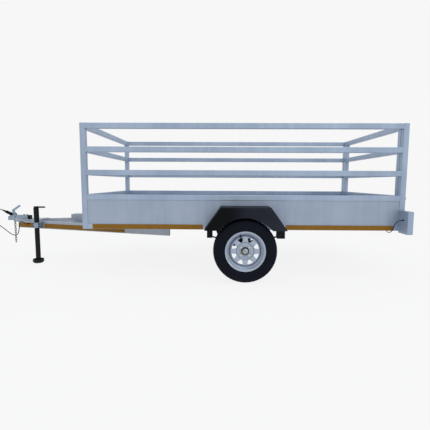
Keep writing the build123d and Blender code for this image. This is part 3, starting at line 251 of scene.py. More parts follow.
class Graph(NodeTree):
    """The node graph of one material."""

    def __init__(self, name: str) -> None:
        """Start a material with a Principled shader.

        Args:
            name: the material's name.
        """
        self.material = bpy.data.materials.new(name)
        self.material.use_nodes = True
        super().__init__(self.material.node_tree)
        self.shader = self.node("ShaderNodeBsdfPrincipled")
        surface = Expr(self, self.shader.outputs[0])
        self.output = self.node("ShaderNodeOutputMaterial", inputs={0: surface})

    def place(self) -> Expr:
        """The point in the trailer's own frame, in metres."""
        return Expr(self, self.node("ShaderNodeTexCoord").outputs["Object"])

    def stretched(self, vector: Expr, by: Point) -> Expr:
        """A vector multiplied axis by axis."""
        node = self.node("ShaderNodeVectorMath", {"operation": "MULTIPLY"}, {0: vector, 1: by})
        return Expr(self, node.outputs[0])

    def noise(self, at: Expr, scale: float, detail: float = 2.0, rough: float = 0.5) -> Expr:
        """Cloudy noise between 0 and 1.

        Args:
            at: where it is read.
            scale: clouds per metre.
            detail: how many finer layers it has.
            rough: how strong those layers are.

        Returns:
            The noise.
        """
        node = self.node(
            "ShaderNodeTexNoise",
            inputs={"Vector": at, "Scale": scale, "Detail": detail, "Roughness": rough},
        )
        return Expr(self, node.outputs[0])

    def cells(self, at: Expr, scale: float) -> Expr:
        """A random number for each cell of a Voronoi pattern."""
        node = self.node("ShaderNodeTexVoronoi", inputs={"Vector": at, "Scale": scale})
        return self.parts(Expr(self, node.outputs["Color"]))[0]

    def mix(self, share: Value, low: Value, high: Value) -> Expr:
        """A colour between two colours.

        Args:
            share: 0 gives the first, 1 the second.
            low: the first colour.
            high: the second colour.

        Returns:
            The mixed colour.
        """
        node = self.node(
            "ShaderNodeMix",
            {"data_type": "RGBA", "clamp_factor": True},
            {0: share, 6: low, 7: high},
        )
        return Expr(self, node.outputs[2])

    def bump(self, height: Expr, depth: float, strength: float = 1.0) -> Expr:
        """A normal from a height.

        Args:
            height: the height, from 0 to 1.
            depth: how many metres 1 stands for.
            strength: how much of it shows.

        Returns:
            The bent normal.
        """
        node = self.node(
            "ShaderNodeBump", inputs={"Height": height, "Distance": depth, "Strength": strength}
        )
        return Expr(self, node.outputs[0])

    def shade(self, **sockets: Value) -> bpy.types.Material:
        """Feed the shader's sockets, named with underscores for spaces.

        Returns:
            The finished material.
        """
        for name, value in sockets.items():
            self.feed(self.shader.inputs[name.replace("_", " ")], value)
        return self.material


# ---------------------------------------------------------------- finishes


@dataclass(frozen=True)
class Finish:
    """A surface finish; each kind paints its own graph."""

    name: str

    def material(self) -> bpy.types.Material:
        """The material, made once and then kept."""
        found = bpy.data.materials.get(self.name)
        return found if found else self.paint(Graph(self.name))

    def paint(self, graph: Graph) -> bpy.types.Material:
        """Build the material.

        Args:
            graph: the empty graph.

        Returns:
            The finished material.
        """
        raise NotImplementedError


@dataclass(frozen=True)
class SilverPaint(Finish):
    """Silver-grey paint over welded steel, with faint clouds, runs and road film low down."""

    light: Colour = (0.36, 0.44, 0.56)
    dark: Colour = (0.26, 0.33, 0.44)
    film: Colour = (0.26, 0.25, 0.23)
    metallic: float = 0.45
    roughness: float = 0.42
    film_top: float = 0.56
    wave: float = 0.0

    def paint(self, graph: Graph) -> bpy.types.Material:
        """Build the paint from clouds, vertical runs, fine flake and a low film.

        Args:
            graph: the empty graph.

        Returns:
            The finished material.
        """
        at = graph.place()
        _, _, height = graph.parts(at)
        clouds = graph.noise(at, 2.6, 4.0, 0.55)
        runs = graph.noise(graph.stretched(at, (18.0, 18.0, 1.3)), 1.0, 3.0, 0.6)
        flake = graph.noise(at, 950.0, 1.0)
        peel = graph.noise(at, 140.0, 2.0)
        tone = clouds * 0.55 + runs * 0.30 + flake * 0.15
        film = (1.0 - height.between(0.36, self.film_top)) * graph.noise(at, 9.0, 5.0, 0.7)
        film = film.between(0.18, 0.75) * 0.55
        base = graph.mix(tone.between(0.30, 0.72), self.dark, self.light)
        base = graph.mix(film, base, self.film)
        rough = self.roughness + (clouds - 0.5) * 0.16 + flake * 0.05 + film * 0.25
        relief = peel * 0.25 + flake * 0.10 + clouds * self.wave
        return graph.shade(
            Base_Color=base,
            Roughness=rough,
            Metallic=self.metallic - film * 0.5,
            Normal=graph.bump(relief, 0.0006 if self.wave == 0 else 0.004, 0.35),
        )


@dataclass(frozen=True)
class ChequerSheet(Finish):
    """Steel floor sheet with raised lozenges that turn from cell to cell, worn by hooves."""

    colour: Colour = (0.42, 0.47, 0.54)
    pitch: float = 0.030

    def paint(self, graph: Graph) -> bpy.types.Material:
        """Build the sheet from rows of lozenges, scuffs and dried mud.

        Args:
            graph: the empty graph.

        Returns:
            The finished material.
        """
        at = graph.place()
        x, y, _ = graph.parts(at)
        u, v = x / self.pitch, y / self.pitch
        parity = ((u.floor() + v.floor()) * 0.5).fraction() * 2.0
        across, along = u.fraction() - 0.5, v.fraction() - 0.5
        one = abs(across + along) * 0.9 + abs(across - along) * 3.4
        two = abs(across + along) * 3.4 + abs(across - along) * 0.9
        lozenge = 1.0 - (one * parity + two * (1.0 - parity)).between(0.42, 0.72)
        mud = graph.noise(at, 3.2, 6.0, 0.68).between(0.46, 0.70)
        scuff = graph.noise(graph.stretched(at, (4.0, 30.0, 1.0)), 1.0, 4.0, 0.6)
        base = graph.mix(scuff.between(0.3, 0.8), self.colour, (0.55, 0.60, 0.66))
        base = graph.mix(mud * 0.45, base, (0.20, 0.17, 0.13))
        return graph.shade(
            Base_Color=base,
            Roughness=0.38 + mud * 0.35 + scuff * 0.1,
            Metallic=0.7 - mud * 0.5,
            Normal=graph.bump(lozenge + mud * 0.2, 0.0016, 0.9),
        )


@dataclass(frozen=True)
class Tape(Finish):
    """Ochre retroreflective tape with a woven cell pattern and dull, lifted edges."""

    colour: Colour = (0.185, 0.085, 0.004)
    cell: float = 0.006

    def paint(self, graph: Graph) -> bpy.types.Material:
        """Build the tape from diagonal cell walls, cell tones and road film.

        Args:
            graph: the empty graph.

        Returns:
            The finished material.
        """
        at = graph.place()
        x, y, z = graph.parts(at)
        run = x + y * 0.3
        walls = abs(((run + z) / self.cell).fraction() - 0.5)
        walls = walls.at_least(abs(((run - z) / self.cell).fraction() - 0.5))
        wall = walls.between(0.44, 0.49)
        tone = graph.cells(at, 160.0)
        film = graph.noise(at, 12.0, 5.0, 0.7).between(0.42, 0.78)
        base = graph.mix(tone * 0.5, self.colour, (0.25, 0.12, 0.006))
        base = graph.mix(wall * 0.35, base, (0.30, 0.16, 0.02))
        base = graph.mix(film * 0.4, base, (0.10, 0.06, 0.015))
        return graph.shade(
            Base_Color=base,
            Roughness=0.38 + film * 0.3,
            Specular_IOR_Level=0.2,
            Normal=graph.bump(wall + tone * 0.3, 0.0002, 0.6),
        )


@dataclass(frozen=True)
class Rubber(Finish):
    """Dark rubber with a cloudy dusting."""

    colour: Colour = (0.0020, 0.0032, 0.0080)
    dust: Colour = (0.009, 0.011, 0.018)
    dustiness: float = 0.30
    roughness: float = 0.66
    grain: float = 700.0

    def paint(self, graph: Graph) -> bpy.types.Material:
        """Build the rubber from fine grain and cloudy dust.

        Args:
            graph: the empty graph.

        Returns:
            The finished material.
        """
        at = graph.place()
        grain = graph.noise(at, self.grain, 2.0)
        clouds = graph.noise(at, 11.0, 5.0, 0.65)
        dust = clouds.between(0.42, 0.72) * self.dustiness
        base = graph.mix(dust, self.colour, self.dust)
        return graph.shade(
            Base_Color=base,
            Roughness=self.roughness + dust * 0.3 - grain * 0.08,
            Specular_IOR_Level=0.10,
            Normal=graph.bump(grain, 0.0003, 0.5),
        )


@dataclass(frozen=True)
class MouldedPlastic(Finish):
    """Black polypropylene with moulded leather grain, scuffs and sun-chalked patches; on the
    mudguard the chalk colour also lays a painted sheen over the rear half.
    """

    colour: Colour = (0.002, 0.0025, 0.0035)
    # Bluish grey of the chalking, also the colour of the painted sheen.
    chalk: Colour = (0.022, 0.027, 0.040)
    # Above 0, the chalk mask is kept to the rear half (+x) and raised there, as a painted sheen.
    chalk_side: float = 0.0
    roughness: float = 0.44

    def paint(self, graph: Graph) -> bpy.types.Material:
        """Build the plastic from grain, long scuffs and chalking, and, when the sheen option is set,
        a painted sheen over the rear half.

        Args:
            graph: the empty graph.

        Returns:
            The finished material.
        """
        at = graph.place()
        grain = graph.noise(at, 420.0, 3.0, 0.6)
        scuffs = graph.noise(graph.stretched(at, (3.0, 60.0, 90.0)), 1.0, 4.0, 0.7)
        scuffs = scuffs.between(0.60, 0.74)
        chalk = graph.noise(at, 5.0, 4.0, 0.6).between(0.30, 0.75)
        # Painted sheen: the chalk colour is laid on strongly over the rear half, by x, so that half
        # looks lit.
        if self.chalk_side:
            x, _, _ = graph.parts(at)
            chalk = (chalk * 0.5 + 0.7) * (x - SHIFT_X).between(-0.14, 0.12)
        base = graph.mix(chalk * 0.75 + scuffs * 0.2, self.colour, self.chalk)
        return graph.shade(
            Base_Color=base,
            Roughness=self.roughness + chalk * 0.2 - scuffs * 0.1,
            Specular_IOR_Level=0.07,
            Normal=graph.bump(grain + scuffs * 0.2, 0.0004, 0.45),
        )


@dataclass(frozen=True)
class BlackPaint(Finish):
    """Black paint on steel, chipped to grey primer in small spots and dusty in cloudy patches."""

    colour: Colour = (0.003, 0.004, 0.006)
    chip: Colour = (0.10, 0.11, 0.12)
    roughness: float = 0.36
    chips: float = 0.70

    def paint(self, graph: Graph) -> bpy.types.Material:
        """Build the paint from orange peel, chips and dust.

        Args:
            graph: the empty graph.

        Returns:
            The finished material.
        """
        at = graph.place()
        peel = graph.noise(at, 190.0, 2.0)
        spots = graph.noise(at, 46.0, 5.0, 0.72).between(self.chips, self.chips + 0.03)
        dust = graph.noise(at, 7.0, 4.0, 0.6).between(0.45, 0.8) * 0.35
        base = graph.mix(dust, self.colour, (0.024, 0.024, 0.025))
        base = graph.mix(spots, base, self.chip)
        return graph.shade(
            Base_Color=base,
            Roughness=self.roughness + dust * 0.5 + spots * 0.2,
            Metallic=spots * 0.6,
            Specular_IOR_Level=0.16,
            Normal=graph.bump(peel * 0.6 + (1.0 - spots), 0.0004, 0.4),
        )


@dataclass(frozen=True)
class PlatedSteel(Finish):
    """Bare or plated steel with a spangle, handling marks and rust freckles."""

    light: Colour = (0.62, 0.65, 0.70)
    dark: Colour = (0.38, 0.41, 0.46)
    roughness: float = 0.34
    spangle: float = 130.0
    rust: float = 0.72

    def paint(self, graph: Graph) -> bpy.types.Material:
        """Build the plating from cells, clouds and freckles.

        Args:
            graph: the empty graph.

        Returns:
            The finished material.
        """
        at = graph.place()
        cells = graph.cells(at, self.spangle)
        clouds = graph.noise(at, 24.0, 4.0, 0.6)
        freckles = graph.noise(at, 60.0, 6.0, 0.75).between(self.rust, self.rust + 0.06)
        base = graph.mix(cells * 0.45 + clouds * 0.55, self.dark, self.light)
        base = graph.mix(freckles * 0.8, base, (0.17, 0.065, 0.022))
        return graph.shade(
            Base_Color=base,
            Roughness=self.roughness + clouds * 0.2 + freckles * 0.35,
            Metallic=0.92 - freckles * 0.8,
            Normal=graph.bump(cells * 0.4 + clouds, 0.0003, 0.35),
        )


@dataclass(frozen=True)
class WheelPaint(Finish):
    """Silver wheel paint, with brake and road dust gathered towards the hub and the flange."""

    centre_z: float = 0.289
    light: Colour = (0.42, 0.48, 0.58)
    dark: Colour = (0.29, 0.35, 0.45)

    def paint(self, graph: Graph) -> bpy.types.Material:
        """Build the paint from flake, a soft fall in tone and dust.

        Args:
            graph: the empty graph.

        Returns:
            The finished material.
        """
        at = graph.place()
        x, _, z = graph.parts(at)
        dx, dz = x - (SHIFT_X + 0.020), z - self.centre_z
        radius = (dx * dx + dz * dz) ** 0.5
        flake = graph.noise(at, 900.0, 1.0)
        clouds = graph.noise(at, 14.0, 4.0, 0.6)
        near_hub = 1.0 - radius.between(0.045, 0.085)
        near_edge = radius.between(0.148, 0.172)
        dust = (near_hub * 0.5 + near_edge * 0.35 + 0.10) * clouds.between(0.3, 0.7)
        base = graph.mix(clouds * 0.6 + flake * 0.4, self.dark, self.light)
        base = graph.mix(dust * 0.6, base, (0.16, 0.155, 0.15))
        return graph.shade(
            Base_Color=base,
            Roughness=0.36 + dust * 0.4 + flake * 0.06,
            Metallic=0.6 - dust * 0.4,
            Coat_Weight=0.3 - dust * 0.3,
            Normal=graph.bump(flake * 0.3 + clouds, 0.0003, 0.3),
        )


@dataclass(frozen=True)
class LampPlastic(Finish):
    """Coloured clear acrylic over small prisms."""

    colour: Colour = (0.45, 0.010, 0.012)
    deep: Colour = (0.16, 0.004, 0.005)
    pitch: float = 0.0042

    def paint(self, graph: Graph) -> bpy.types.Material:
        """Build the lens from a grid of prisms under a gloss coat.

        Args:
            graph: the empty graph.

        Returns:
            The finished material.
        """
        at = graph.place()
        _, y, z = graph.parts(at)
        across = abs((y / self.pitch).fraction() - 0.5) * 2.0
        up = abs((z / self.pitch).fraction() - 0.5) * 2.0
        prism = across.at_most(up)
        base = graph.mix(prism, self.deep, self.colour)
        dull = graph.noise(at, 30.0, 4.0, 0.6).between(0.5, 0.8)
        return graph.shade(
            Base_Color=base,
            Roughness=0.12 + dull * 0.2,
            Coat_Weight=0.9 - dull * 0.3,
            Normal=graph.bump(prism, 0.0006, 0.5),
        )


@dataclass(frozen=True)
class StudioFloor(Finish):
    """Pale plain studio paper, lit from behind so that it runs into the backdrop."""

    colour: Colour = (0.88, 0.88, 0.88)
    glow: float = 0.93
    near_share: float = 0.92
    near: float = 2.6
    far: float = 5.2

    def paint(self, graph: Graph) -> bpy.types.Material:
        """Build the paper from one tone, a trace of cloud and a glow that takes over far out.

        Args:
            graph: the empty graph.

        Returns:
            The finished material.
        """
        at = graph.place()
        clouds = graph.noise(at, 0.4, 2.0)
        x, y, _ = graph.parts(at)
        reach = (x * x + y * y) ** 0.5
        far = reach.between(self.near, self.far)
        base = graph.mix(clouds, self.colour, tuple(c * 1.01 for c in self.colour))
        material = graph.shade(Base_Color=base, Roughness=0.9, Specular_IOR_Level=0.0)
        glow = graph.node("ShaderNodeEmission", inputs={"Color": (self.glow,) * 3})
        blend = graph.node("ShaderNodeMixShader", inputs={
            0: self.near_share + far * (1.0 - self.near_share),
            1: Expr(graph, graph.shader.outputs[0]),
            2: Expr(graph, glow.outputs[0]),
        })
        graph.feed(graph.output.inputs[0], Expr(graph, blend.outputs[0]))
        return material


TUBE_PAINT = SilverPaint("silver_tube_paint")
PANEL_PAINT = SilverPaint("silver_panel_paint", light=(0.34, 0.40, 0.50), dark=(0.26, 0.32, 0.41),
                          roughness=0.46, wave=0.5)
DRAWBAR_PAINT = SilverPaint("drawbar_paint", light=(0.37, 0.41, 0.48), dark=(0.28, 0.32, 0.38),
                            film_top=0.50)
FLOOR_SHEET = ChequerSheet("floor_chequer_sheet")
OCHRE_TAPE = Tape("ochre_tape")
TYRE_RUBBER = Rubber("tyre_rubber")
SHEATH = Rubber("cable_sheath", colour=(0.010, 0.010, 0.012), dustiness=0.2, roughness=0.5,
                grain=1500.0)
# The mudguard carries a painted sheen on its rear half.
GUARD_PLASTIC = MouldedPlastic("mudguard_plastic", chalk_side=1.0)
FITTING_PLASTIC = MouldedPlastic("fitting_plastic", roughness=0.35)
JACK_PAINT = BlackPaint("jack_paint")
SPRING_PAINT = BlackPaint("spring_paint", roughness=0.55, chips=0.62)
ZINC = PlatedSteel("zinc_plate")
BRIGHT_ZINC = PlatedSteel("bright_zinc", light=(0.72, 0.75, 0.80), dark=(0.50, 0.53, 0.58),
                          roughness=0.24, rust=0.80)
DARK_BOLT = PlatedSteel("dark_bolt_steel", light=(0.075, 0.08, 0.10), dark=(0.02, 0.022, 0.03),
                        roughness=0.42, spangle=200.0, rust=0.74)
CAP_ZINC = PlatedSteel("dust_cap_zinc", light=(0.50, 0.56, 0.56), dark=(0.16, 0.19, 0.19),
                       roughness=0.34, spangle=80.0, rust=0.72)
COUPLER_ZINC = PlatedSteel("coupler_plate", light=(0.36, 0.43, 0.52), dark=(0.20, 0.26, 0.34),
                           roughness=0.38, spangle=60.0, rust=0.76)
CHAIN_ZINC = PlatedSteel("chain_plate", light=(0.36, 0.36, 0.40), dark=(0.20, 0.20, 0.23),
                         roughness=0.42, rust=0.66)
WHEEL_SILVER = WheelPaint("wheel_silver")
RED_LENS = LampPlastic("red_lens")
AMBER_LENS = LampPlastic("amber_lens", colour=(0.62, 0.20, 0.010), deep=(0.30, 0.08, 0.004))
CLEAR_LENS = LampPlastic("clear_lens", colour=(0.75, 0.76, 0.78), deep=(0.40, 0.41, 0.43))
STUDIO_PAPER = StudioFloor("studio_paper")


# ---------------------------------------------------------------- mesh making


def turns(sides: int) -> List[float]:
    """The angles of evenly spaced points round a circle, in radians."""
    return [2 * math.pi * k / sides for k in range(sides)]


def in_metres(profile: Sequence[Tuple[float, float]]) -> List[Tuple[float, float]]:
    """A profile given in millimetres, in metres."""
    return [(radius * MM, height * MM) for radius, height in profile]


def spot(x: float, y: float, z: float) -> Vector:
    """A point given in millimetres from the body's centre, as a point of the frame in metres."""
    return Vector((x * MM + SHIFT_X, y * MM, z * MM))


def body_frame(points: Sequence[Point]) -> List[Vector]:
    """Points given in millimetres from the body's centre, as points of the frame in metres."""
    return [spot(*point) for point in points]


def stood_at(foot: Vector, axis: Vector) -> Matrix:
    """Where a lathe stands whose axis starts at a foot and runs along a direction."""
    return Matrix.Translation(foot) @ axis.to_track_quat("Z", "Y").to_matrix().to_4x4()


def every_face(_row: int, _column: int) -> bool:
    """Says that each quad of a grid keeps flat shading."""
    return True


def add_object(name: str, data: bpy.types.ID) -> bpy.types.Object:
    """Put new data in the scene as an object.

    Args:
        name: the object's name.
        data: its mesh, curve, lamp or camera.

    Returns:
        The object.
    """
    added = bpy.data.objects.new(name, data)
    bpy.context.scene.collection.objects.link(added)
    return added


class MeshMaker:
    """Collects rings and strips of faces, then makes one object of them."""

    def __init__(self, name: str) -> None:
        """Start an empty mesh.

        Args:
            name: the piece's name.
        """
        self.name = name
        self.points: List[Vector] = []
        self.faces: List[Tuple[int, ...]] = []
        self.flat: List[bool] = []

    def grid(self, rings: Sequence[Sequence[Vector]], around: Stop = Stop.LOOP,
             along: Stop = Stop.OPEN, flat: Optional[Callable[[int, int], bool]] = None) -> None:
        """Join rings of points into a sheet of quads.

        Args:
            rings: rows of points, all of one length.
            around: whether each row closes on itself.
            along: whether the last row joins the first.
            flat: says which quad, by row and column, keeps flat shading.
        """
        start = len(self.points)
        count = len(rings[0])
        for ring in rings:
            self.points.extend(Vector(p) for p in ring)
        rows = len(rings) if along is Stop.LOOP else len(rings) - 1
        columns = count if around is Stop.LOOP else count - 1
        for i in range(rows):
            for j in range(columns):
                a = start + i * count + j
                b = start + i * count + (j + 1) % count
                c = start + (i + 1) % len(rings) * count + (j + 1) % count
                d = start + (i + 1) % len(rings) * count + j
                self.faces.append((a, b, c, d))
                self.flat.append(bool(flat and flat(i, j)))

    def cap(self, ring: Sequence[Vector], turn: bool = False) -> None:
        """Close a ring with one flat face.

        Args:
            ring: its points.
            turn: whether the face looks the other way.
        """
        start = len(self.points)
        self.points.extend(Vector(p) for p in ring)
        order = range(start, start + len(ring))
        self.faces.append(tuple(reversed(order)) if turn else tuple(order))
        self.flat.append(True)

    def lathe(self, profile: Sequence[Tuple[float, float]], place: Matrix,
              sides: int = 40, ends: Stop = Stop.OPEN) -> None:
        """Turn a profile about the local Z axis.

        Args:
            profile: radius and height of each point, from one end to the other.
            place: where the lathe's axis lies.
            sides: how many facets go round.
            ends: LOOP joins the profile's end to its start, as on a sleeve.
        """
        rings = [[place @ Vector((radius * math.cos(angle), radius * math.sin(angle), height))
                  for angle in turns(sides)] for radius, height in profile]
        self.grid(rings, along=ends)
        if ends is Stop.OPEN:
            self.cap(rings[0], turn=True)
            self.cap(rings[-1])

    def sweep(self, line: Sequence[Vector], radius: Callable[[int], float], sides: int = 10) -> None:
        """Run a round section along a line.

        Args:
            line: the points it follows.
            radius: the section's radius at each point.
            sides: how many facets go round.
        """
        rings = []
        up = Vector((0.0, 0.0, 1.0))
        for i, point in enumerate(line):
            ahead = line[min(i + 1, len(line) - 1)] - line[max(i - 1, 0)]
            ahead.normalize()
            across = ahead.cross(up if abs(ahead.z) < 0.9 else Vector((1.0, 0.0, 0.0)))
            across.normalize()
            over = across.cross(ahead)
            size = radius(i)
            rings.append([point + size * (math.cos(angle) * across + math.sin(angle) * over)
                          for angle in turns(sides)])
        self.grid(rings)
        self.cap(rings[0])
        self.cap(rings[-1], turn=True)

    def block(self, low: Sequence[float], high: Sequence[float], bevel: float,
              place: Matrix = Matrix.Identity(4)) -> None:
        """A box whose four edges along its longest run are rounded off and its ends chamfered.

        Args:
            low: its lowest corner.
            high: its highest corner.
            bevel: the size of the rounding.
            place: where the box's own frame lies.
        """
        x0, y0, z0 = low
        x1, y1, z1 = high
        rings = []
        for x, inset in ((x0, bevel), (x0 + bevel, 0.0), (x1 - bevel, 0.0), (x1, bevel)):
            ring = []
            for cy, cz, start in ((y1, z1, 0), (y0, z1, 1), (y0, z0, 2), (y1, z0, 3)):
                sy = -1 if cy == y1 else 1
                sz = -1 if cz == z1 else 1
                for step in range(4):
                    angle = math.radians(90 * start + 30 * step)
                    y = cy + sy * (bevel + inset * 0.5) + bevel * math.cos(angle)
                    z = cz + sz * (bevel + inset * 0.5) + bevel * math.sin(angle)
                    ring.append(place @ Vector((x, y, z)))
            rings.append(ring)
        self.grid(rings)
        self.cap(rings[0], turn=True)
        self.cap(rings[-1])

    def make(self, finish: Finish, body: str,
             stands_for: Sequence[str] = ()) -> bpy.types.Object:
        """Make the object, dress it and fix it to its body.

        Args:
            finish: its finish.
            body: the frame body that it moves with.
            stands_for: the frame nodes that it replaces.

        Returns:
            The finished piece.
        """
        piece = self.dressed(finish)
        settle(piece, body, stands_for)
        return piece

    def dressed(self, finish: Finish) -> bpy.types.Object:
        """Make the object and dress it.

        Args:
            finish: its finish.

        Returns:
            The piece, not yet fixed to a body.
        """
        mesh = bpy.data.meshes.new(self.name)
        mesh.from_pydata([tuple(p) for p in self.points], [], self.faces)
        mesh.validate()
        mesh.materials.append(finish.material())
        for polygon, flat in zip(mesh.polygons, self.flat):
            polygon.use_smooth = not flat
        mesh.update()
        return add_object(self.name, mesh)


def settle(piece: bpy.types.Object, body: str, stands_for: Sequence[str] = ()) -> None:
    """Fix a piece to its body, hide the frame nodes that it replaces and log which body it rides on.

    Args:
        piece: the piece, already in place.
        body: the frame body that it moves with.
        stands_for: the frame nodes that it replaces.
    """
    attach(piece, body)
    if stands_for:
        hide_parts(*stands_for)
    LOG.info("%s rides on %s", piece.name, body)


def dress(finish: Finish, *nodes: str) -> None:
    """Give frame nodes a finish.

    Args:
        finish: the finish.
        nodes: the nodes that take it.
    """
    for name in nodes:
        for material_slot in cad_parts[name].material_slots:
            material_slot.material = finish.material()
        LOG.info("%s wears %s", name, finish.name)


# ---------------------------------------------------------------- studio


@dataclass
class Studio:
    """Plain pale floor, soft light and the camera."""

    eye: Point = (-0.2113 + SHIFT_X, -3.8344, 0.905)
    pitch: float = 5.673
    yaw: float = -0.797
    roll: float = 0.258
    lens: float = 27.83
    sensor: float = 36.0
    floor_size: float = 160.0
    backdrop: float = 0.93
    sky_top: Colour = (0.70, 0.76, 0.86)
    haze_to: float = 0.76
    blue_from: float = 0.95
    floor_drop: float = 0.0005
    aim: Point = (0.3, 0.0, 0.6)
    lamps: Tuple[Tuple[str, Point, float, float], ...] = (
        ("key_light", (3.4, -5.0, 6.0), 5.0, 120.0),
        ("top_light", (0.6, 0.4, 7.0), 6.0, 150.0))

    def build(self) -> None:
        """Set up camera, floor, sky and lamps."""
        self.camera()
        self.floor()
        self.sky()
        for name, place, size, power in self.lamps:
            self.lamp(name, place, size, power)
        bpy.context.scene.view_settings.view_transform = "Standard"

    def camera(self) -> None:
        """Place the camera by its pitch, yaw and roll."""
        pitch, yaw, roll = (math.radians(a) for a in (self.pitch, self.yaw, self.roll))
        ahead = Vector((math.sin(yaw) * math.cos(pitch), math.cos(yaw) * math.cos(pitch),
                        -math.sin(pitch)))
        level = Vector((math.cos(yaw), -math.sin(yaw), 0.0))
        rise = level.cross(ahead)
        right = level * math.cos(roll) + rise * math.sin(roll)
        up = right.cross(ahead)
        data = bpy.data.cameras.new("camera")
        data.lens, data.sensor_width, data.sensor_fit = self.lens, self.sensor, "HORIZONTAL"
        camera = add_object("camera", data)
        turn = Matrix((right, up, -ahead)).transposed().to_4x4()
        camera.matrix_world = Matrix.Translation(self.eye) @ turn
        bpy.context.scene.camera = camera

    def floor(self) -> None:
        """Lay the floor."""
        half = self.floor_size / 2
        mesh = bpy.data.meshes.new("floor")
        corners = [(-half, -half, 0), (half, -half, 0), (half, half, 0), (-half, half, 0)]
        mesh.from_pydata(corners, [], [(0, 1, 2, 3)])
        mesh.materials.append(STUDIO_PAPER.material())
        floor = add_object("floor", mesh)
        floor.location.z = -self.floor_drop

    def sky(self) -> None:
        """An even pale sky that turns bluer overhead."""
        world = bpy.data.worlds.new("studio")
        world.use_nodes = True
        nodes = NodeTree(world.node_tree)
        place = nodes.node("ShaderNodeTexCoord")
        _, _, height = nodes.parts(Expr(nodes, place.outputs["Generated"]))
        stops = [(self.haze_to, (self.backdrop,) * 3), (self.blue_from, self.sky_top)]
        ramp = nodes.node("ShaderNodeValToRGB", {"stops": stops}, {0: height * 0.5 + 0.5})
        lit = nodes.node("ShaderNodeBackground", inputs={0: Expr(nodes, ramp.outputs[0])})
        nodes.node("ShaderNodeOutputWorld", inputs={0: Expr(nodes, lit.outputs[0])})
        bpy.context.scene.world = world

    def lamp(self, name: str, place: Point, size: float, power: float) -> None:
        """Hang one square soft lamp.

        Args:
            name: its name.
            place: where it hangs.
            size: the length of its side.
            power: its power in watts.
        """
        data = bpy.data.lights.new(name, "AREA")
        data.size, data.energy = size, power
        lamp = add_object(name, data)
        lamp.location = place
        ahead = Vector(self.aim) - Vector(place)
        lamp.rotation_euler = ahead.to_track_quat("-Z", "Y").to_euler()


# ---------------------------------------------------------------- leads and plug


